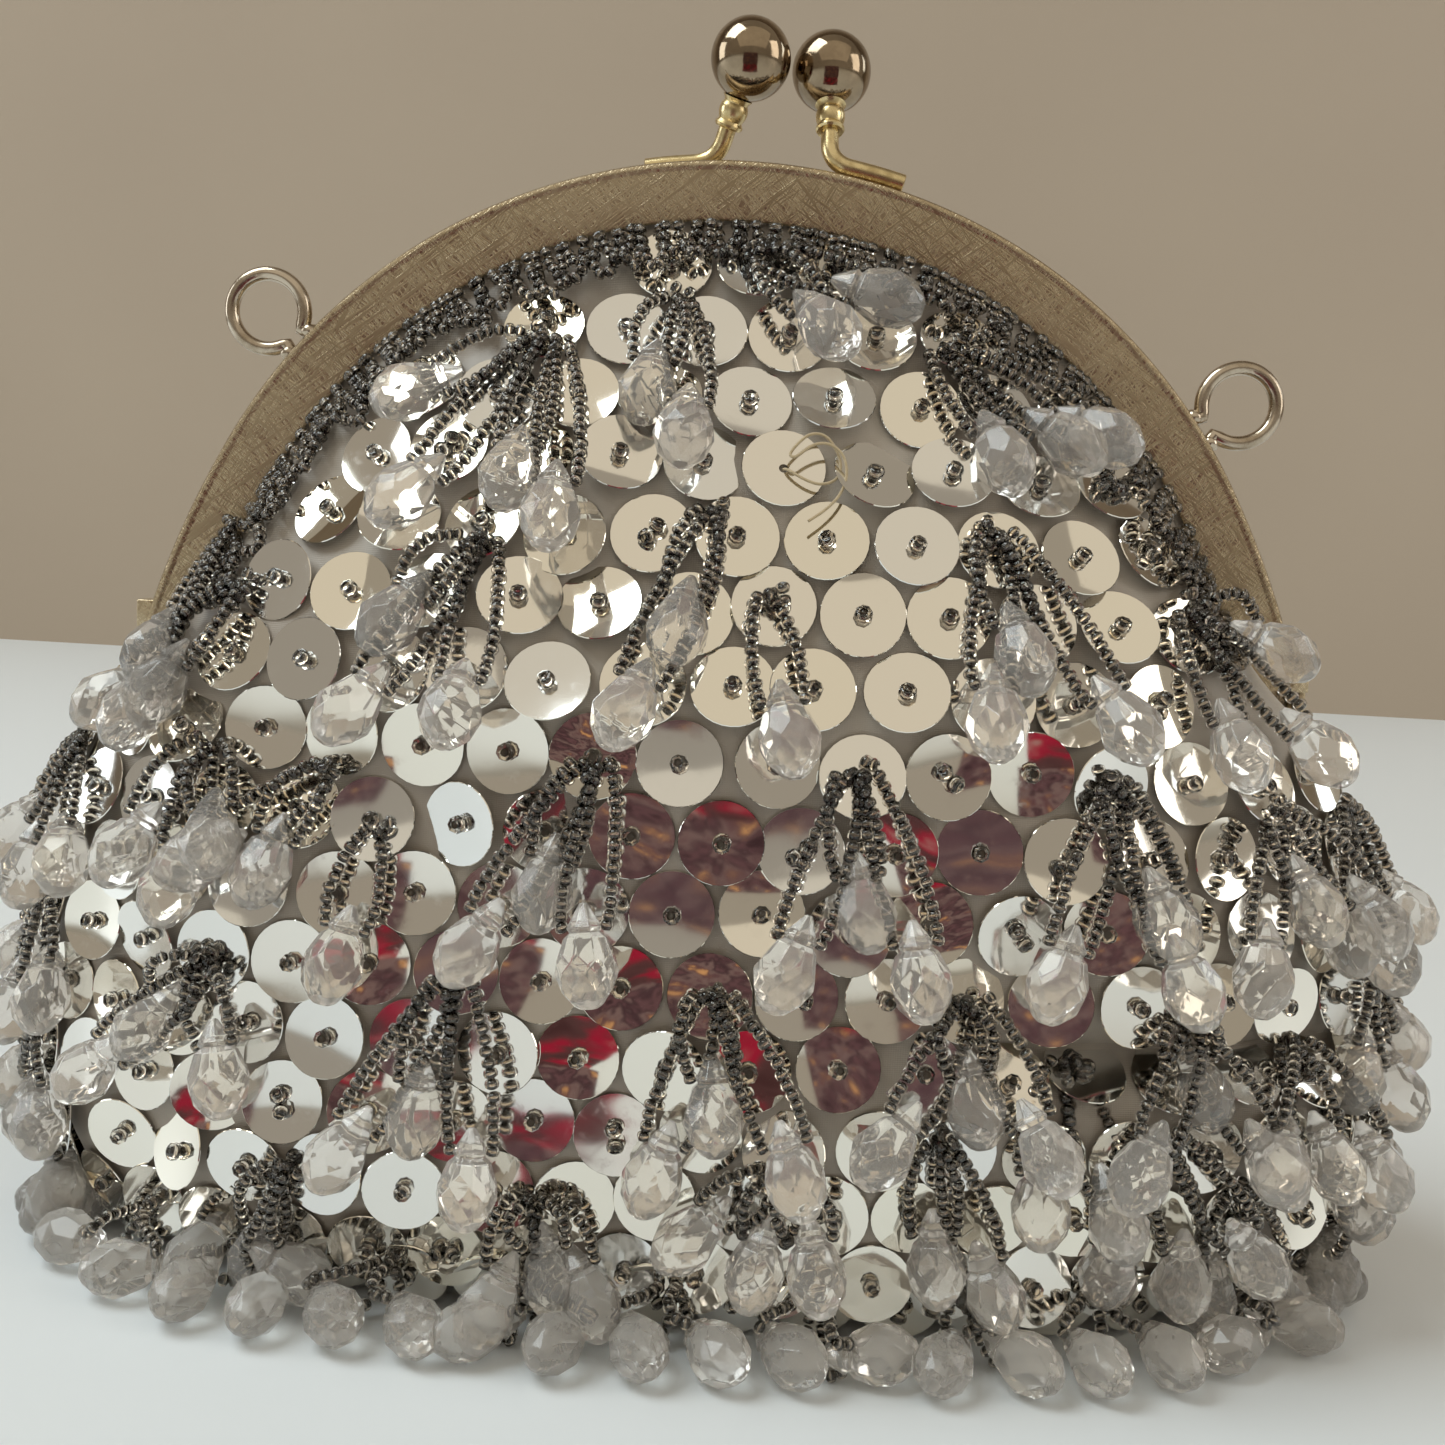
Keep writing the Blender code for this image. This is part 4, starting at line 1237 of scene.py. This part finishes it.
def chain_ring(side, angle):
    """An open wire ring whose two ends are soldered to the rail's outer edge."""
    cx, cz = frame_point(angle, -RING_STAND_OFF)
    ex, ez = frame_point(angle, 0.0)
    centre, inward = Vector((cx, -RAIL_Y, cz)), Vector((ex - cx, 0, ez - cz)).normalized()
    tangent = Vector((-inward.z, 0, inward.x))
    shape = bmesh.new()
    open_half = math.radians(17)
    points = []
    for t in np.linspace(open_half, 2 * math.pi - open_half, 49):
        points.append(centre + (inward * math.cos(t) + tangent * math.sin(t)) * RING_RADIUS)
    toes = [end + inward * 1.1 + tangent * sign * 0.35
            for end, sign in ((points[0], 1), (points[-1], -1))]
    points = [toes[0], *points, toes[1]]
    sweep(shape, points, RING_WIRE, 18)
    blob_from = len(shape.faces)
    for sign in (-1, 1):
        blob = bmesh.ops.create_uvsphere(shape, u_segments=20, v_segments=12, radius=1.25)["verts"]
        at = centre + inward * (RING_STAND_OFF - 0.35) + tangent * sign * 1.9
        for vert in blob:
            wob = 1 + 0.08 * math.sin(5 * vert.co.x + 3 * vert.co.z)
            vert.co = Vector((vert.co.x * wob, vert.co.y * 0.95, vert.co.z * wob * 0.8)) + at
    shape.faces.ensure_lookup_table()
    for face in shape.faces[blob_from:]:
        face.material_index = 1
    add_piece(f"{side}_wire_ring", mesh_from_bmesh("ring", shape, 60), [STEEL, SOLDER],
              ["front_frame"], [f"{side}_chain_ring"])


for side, angle in RING_ANGLES.items():
    chain_ring(side, angle)


# ---------------------------------------------------------------- loose thread

THREAD_RADIUS = 0.18
# Right, up and out of the loose sequin's hole, which the thread comes out of
THREAD_ROUTE = (
    (0.0, 0.0, -0.1), (0.4, -0.5, 0.9), (2.4, -1.9, 1.3), (4.3, -2.5, 1.5), (6.2, -1.7, 1.8),
    (6.5, 0.5, 1.9), (5.4, 2.8, 2.0), (4.2, 3.8, 2.2), (2.6, 3.7, 2.2), (1.3, 2.4, 2.0),
    (0.3, 0.9, 1.7), (1.1, 0.3, 2.2), (2.7, 1.9, 2.7), (4.6, 2.5, 2.7), (6.5, 1.4, 2.6),
    (7.2, -1.0, 2.3), (6.6, -3.6, 2.0), (5.0, -5.6, 1.7), (3.0, -7.2, 1.5))


def rounded(points, rounds=3):
    """The route with its corners cut, which keeps both ends."""
    for _ in range(rounds):
        cut = [points[0]]
        for a, b in zip(points, points[1:]):
            cut += [a * 0.75 + b * 0.25, a * 0.25 + b * 0.75]
        points = cut + [points[-1]]
    return points


def loose_thread():
    points = rounded([LOOSE_HOLE + LOOSE_TURN @ np.array(step) for step in THREAD_ROUTE])
    path = [tuple(float(c) * MM for c in point) for point in points]
    shape = bmesh.new()
    sweep(shape, points, THREAD_RADIUS, 8)
    thread = add_piece("ecru_thread", mesh_from_bmesh("thread", shape), [THREAD],
                       bodies_of(-1))
    length = sum(math.dist(a, b) for a, b in zip(path, path[1:]))
    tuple(path[0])


loose_thread()


# ---------------------------------------------------------------- stage, light and camera

def stage_plane(name, corners, made):
    mesh = bpy.data.meshes.new(name)
    mesh.from_pydata(corners, [], [tuple(range(len(corners)))])
    mesh.materials.append(made)
    obj = bpy.data.objects.new(name, mesh)
    bpy.context.scene.collection.objects.link(obj)
    return obj


FLOOR = shader_material("pale_table", (0.80, 0.84, 0.86), 0.5)
WALL = shader_material("cream_wall", (0.36, 0.29, 0.22), 0.9)
wall_nodes = Nodes(WALL)
wall_nodes.wire(Base_Color=wall_nodes.mix(wall_nodes.noise(3.0, 2.0), (0.335, 0.268, 0.205),
                                          (0.405, 0.333, 0.255)))
stage_plane("table", ((-4, -3, 0), (4, -3, 0), (4, 0.86, 0), (-4, 0.74, 0)), FLOOR)
stage_plane("wall", ((-4, 0.74, 0), (4, 0.86, 0), (4, 0.86, 4), (-4, 0.74, 4)), WALL)


def card(name, corners, colours, strength, scale):
    """A coloured card that only shows in reflections."""
    made = bpy.data.materials.new(name)
    made.use_nodes = True
    tree = made.node_tree
    tree.nodes.clear()
    out = tree.nodes.new("ShaderNodeOutputMaterial")
    glow = tree.nodes.new("ShaderNodeEmission")
    glow.inputs["Strength"].default_value = strength
    noise = tree.nodes.new("ShaderNodeTexNoise")
    noise.inputs["Scale"].default_value = scale
    noise.inputs["Detail"].default_value = 3.0
    place = tree.nodes.new("ShaderNodeTexCoord")
    ramp = tree.nodes.new("ShaderNodeValToRGB")
    ramp.color_ramp.interpolation = 'EASE'
    steps = ramp.color_ramp.elements
    for number, colour in enumerate(colours):
        at = 0.31 + 0.40 * number / max(len(colours) - 1, 1)
        element = steps[number] if number < 2 else steps.new(at)
        element.position, element.color = at, (*colour, 1.0)
    tree.links.new(place.outputs["Object"], noise.inputs["Vector"])
    tree.links.new(noise.outputs["Fac"], ramp.inputs["Fac"])
    tree.links.new(ramp.outputs["Color"], glow.inputs["Color"])
    tree.links.new(glow.outputs["Emission"], out.inputs["Surface"])
    obj = stage_plane(name, corners, made)
    obj.visible_camera = obj.visible_diffuse = obj.visible_shadow = False


card("wine_card", ((-0.07, -0.12, 0.002), (0.07, -0.12, 0.002), (0.1, -0.25, 0.004),
                   (-0.1, -0.25, 0.004)),
     ((0.07, 0.03, 0.03), (0.10, 0.045, 0.045), (0.36, 0.015, 0.04), (0.42, 0.25, 0.22)), 0.8, 30.0)
card("brown_card", ((-0.11, -0.25, 0.004), (0.11, -0.25, 0.004), (0.17, -0.48, 0.15),
                    (-0.17, -0.48, 0.15)),
     ((0.05, 0.026, 0.029), (0.15, 0.075, 0.08), (0.07, 0.036, 0.041), (0.22, 0.14, 0.13),
      (0.13, 0.062, 0.066), (0.70, 0.36, 0.15)), 0.8, 42.0)


def area_light(name, place, target, size, power, colour):
    data = bpy.data.lights.new(name, 'AREA')
    data.shape = 'RECTANGLE'
    data.size, data.size_y = size
    data.energy = power
    data.color = colour
    obj = bpy.data.objects.new(name, data)
    obj.location = place
    obj.rotation_euler = (Vector(target) - Vector(place)).to_track_quat('-Z', 'Y').to_euler()
    obj.visible_camera = False
    bpy.context.scene.collection.objects.link(obj)


area_light("ceiling", (0.1, -1.1, 1.3), (0, 0, 0.08), (2.6, 1.8), 4.7, (1.0, 0.91, 0.74))
area_light("key", (-0.75, -0.22, 1.25), (0, 0, 0.04), (0.8, 0.8), 11.5, (0.88, 0.97, 1.0))
area_light("window", (-1.3, 0.0, 0.45), (0, 0, 0.05), (0.5, 0.7), 3.0, (0.90, 0.96, 1.0))
area_light("side", (1.3, -0.4, 0.6), (0, 0, 0.05), (0.6, 0.9), 4.0, (1.0, 0.97, 0.92))
area_light("wall_wash", (0.95, 0.3, 0.5), (0.6, 0.8, 0.35), (0.4, 0.4), 1.5, (0.86, 0.95, 1.0))

world = bpy.data.worlds.new("soft_room")
world.use_nodes = True
background = world.node_tree.nodes["Background"]
background.inputs["Color"].default_value = (0.84, 0.74, 0.60, 1.0)
background.inputs["Strength"].default_value = 0.39
bpy.context.scene.world = world
bpy.context.scene.view_settings.view_transform = 'Standard'

CAMERA_PLACE = (5.5, -187.6, 95.2)
CAMERA_YAW, CAMERA_PITCH, CAMERA_ROLL = -1.35, 7.2, 3.18    # degrees


def add_camera():
    yaw, pitch, roll = (math.radians(a) for a in (CAMERA_YAW, CAMERA_PITCH, CAMERA_ROLL))
    ahead = Vector((math.sin(yaw) * math.cos(pitch), math.cos(yaw) * math.cos(pitch),
                    -math.sin(pitch)))
    level_right = Vector((math.cos(yaw), -math.sin(yaw), 0.0))
    level_up = level_right.cross(ahead)
    right = level_right * math.cos(roll) + level_up * math.sin(roll)
    up = level_up * math.cos(roll) - level_right * math.sin(roll)
    data = bpy.data.cameras.new("camera")
    data.lens = 36.12
    data.sensor_width = 36.0
    data.clip_start = 0.01
    obj = bpy.data.objects.new("camera", data)
    turn = Matrix((right, up, -ahead)).transposed().to_4x4()
    obj.matrix_world = Matrix.Translation(Vector(CAMERA_PLACE) * MM) @ turn
    bpy.context.scene.collection.objects.link(obj)
    bpy.context.scene.camera = obj


add_camera()
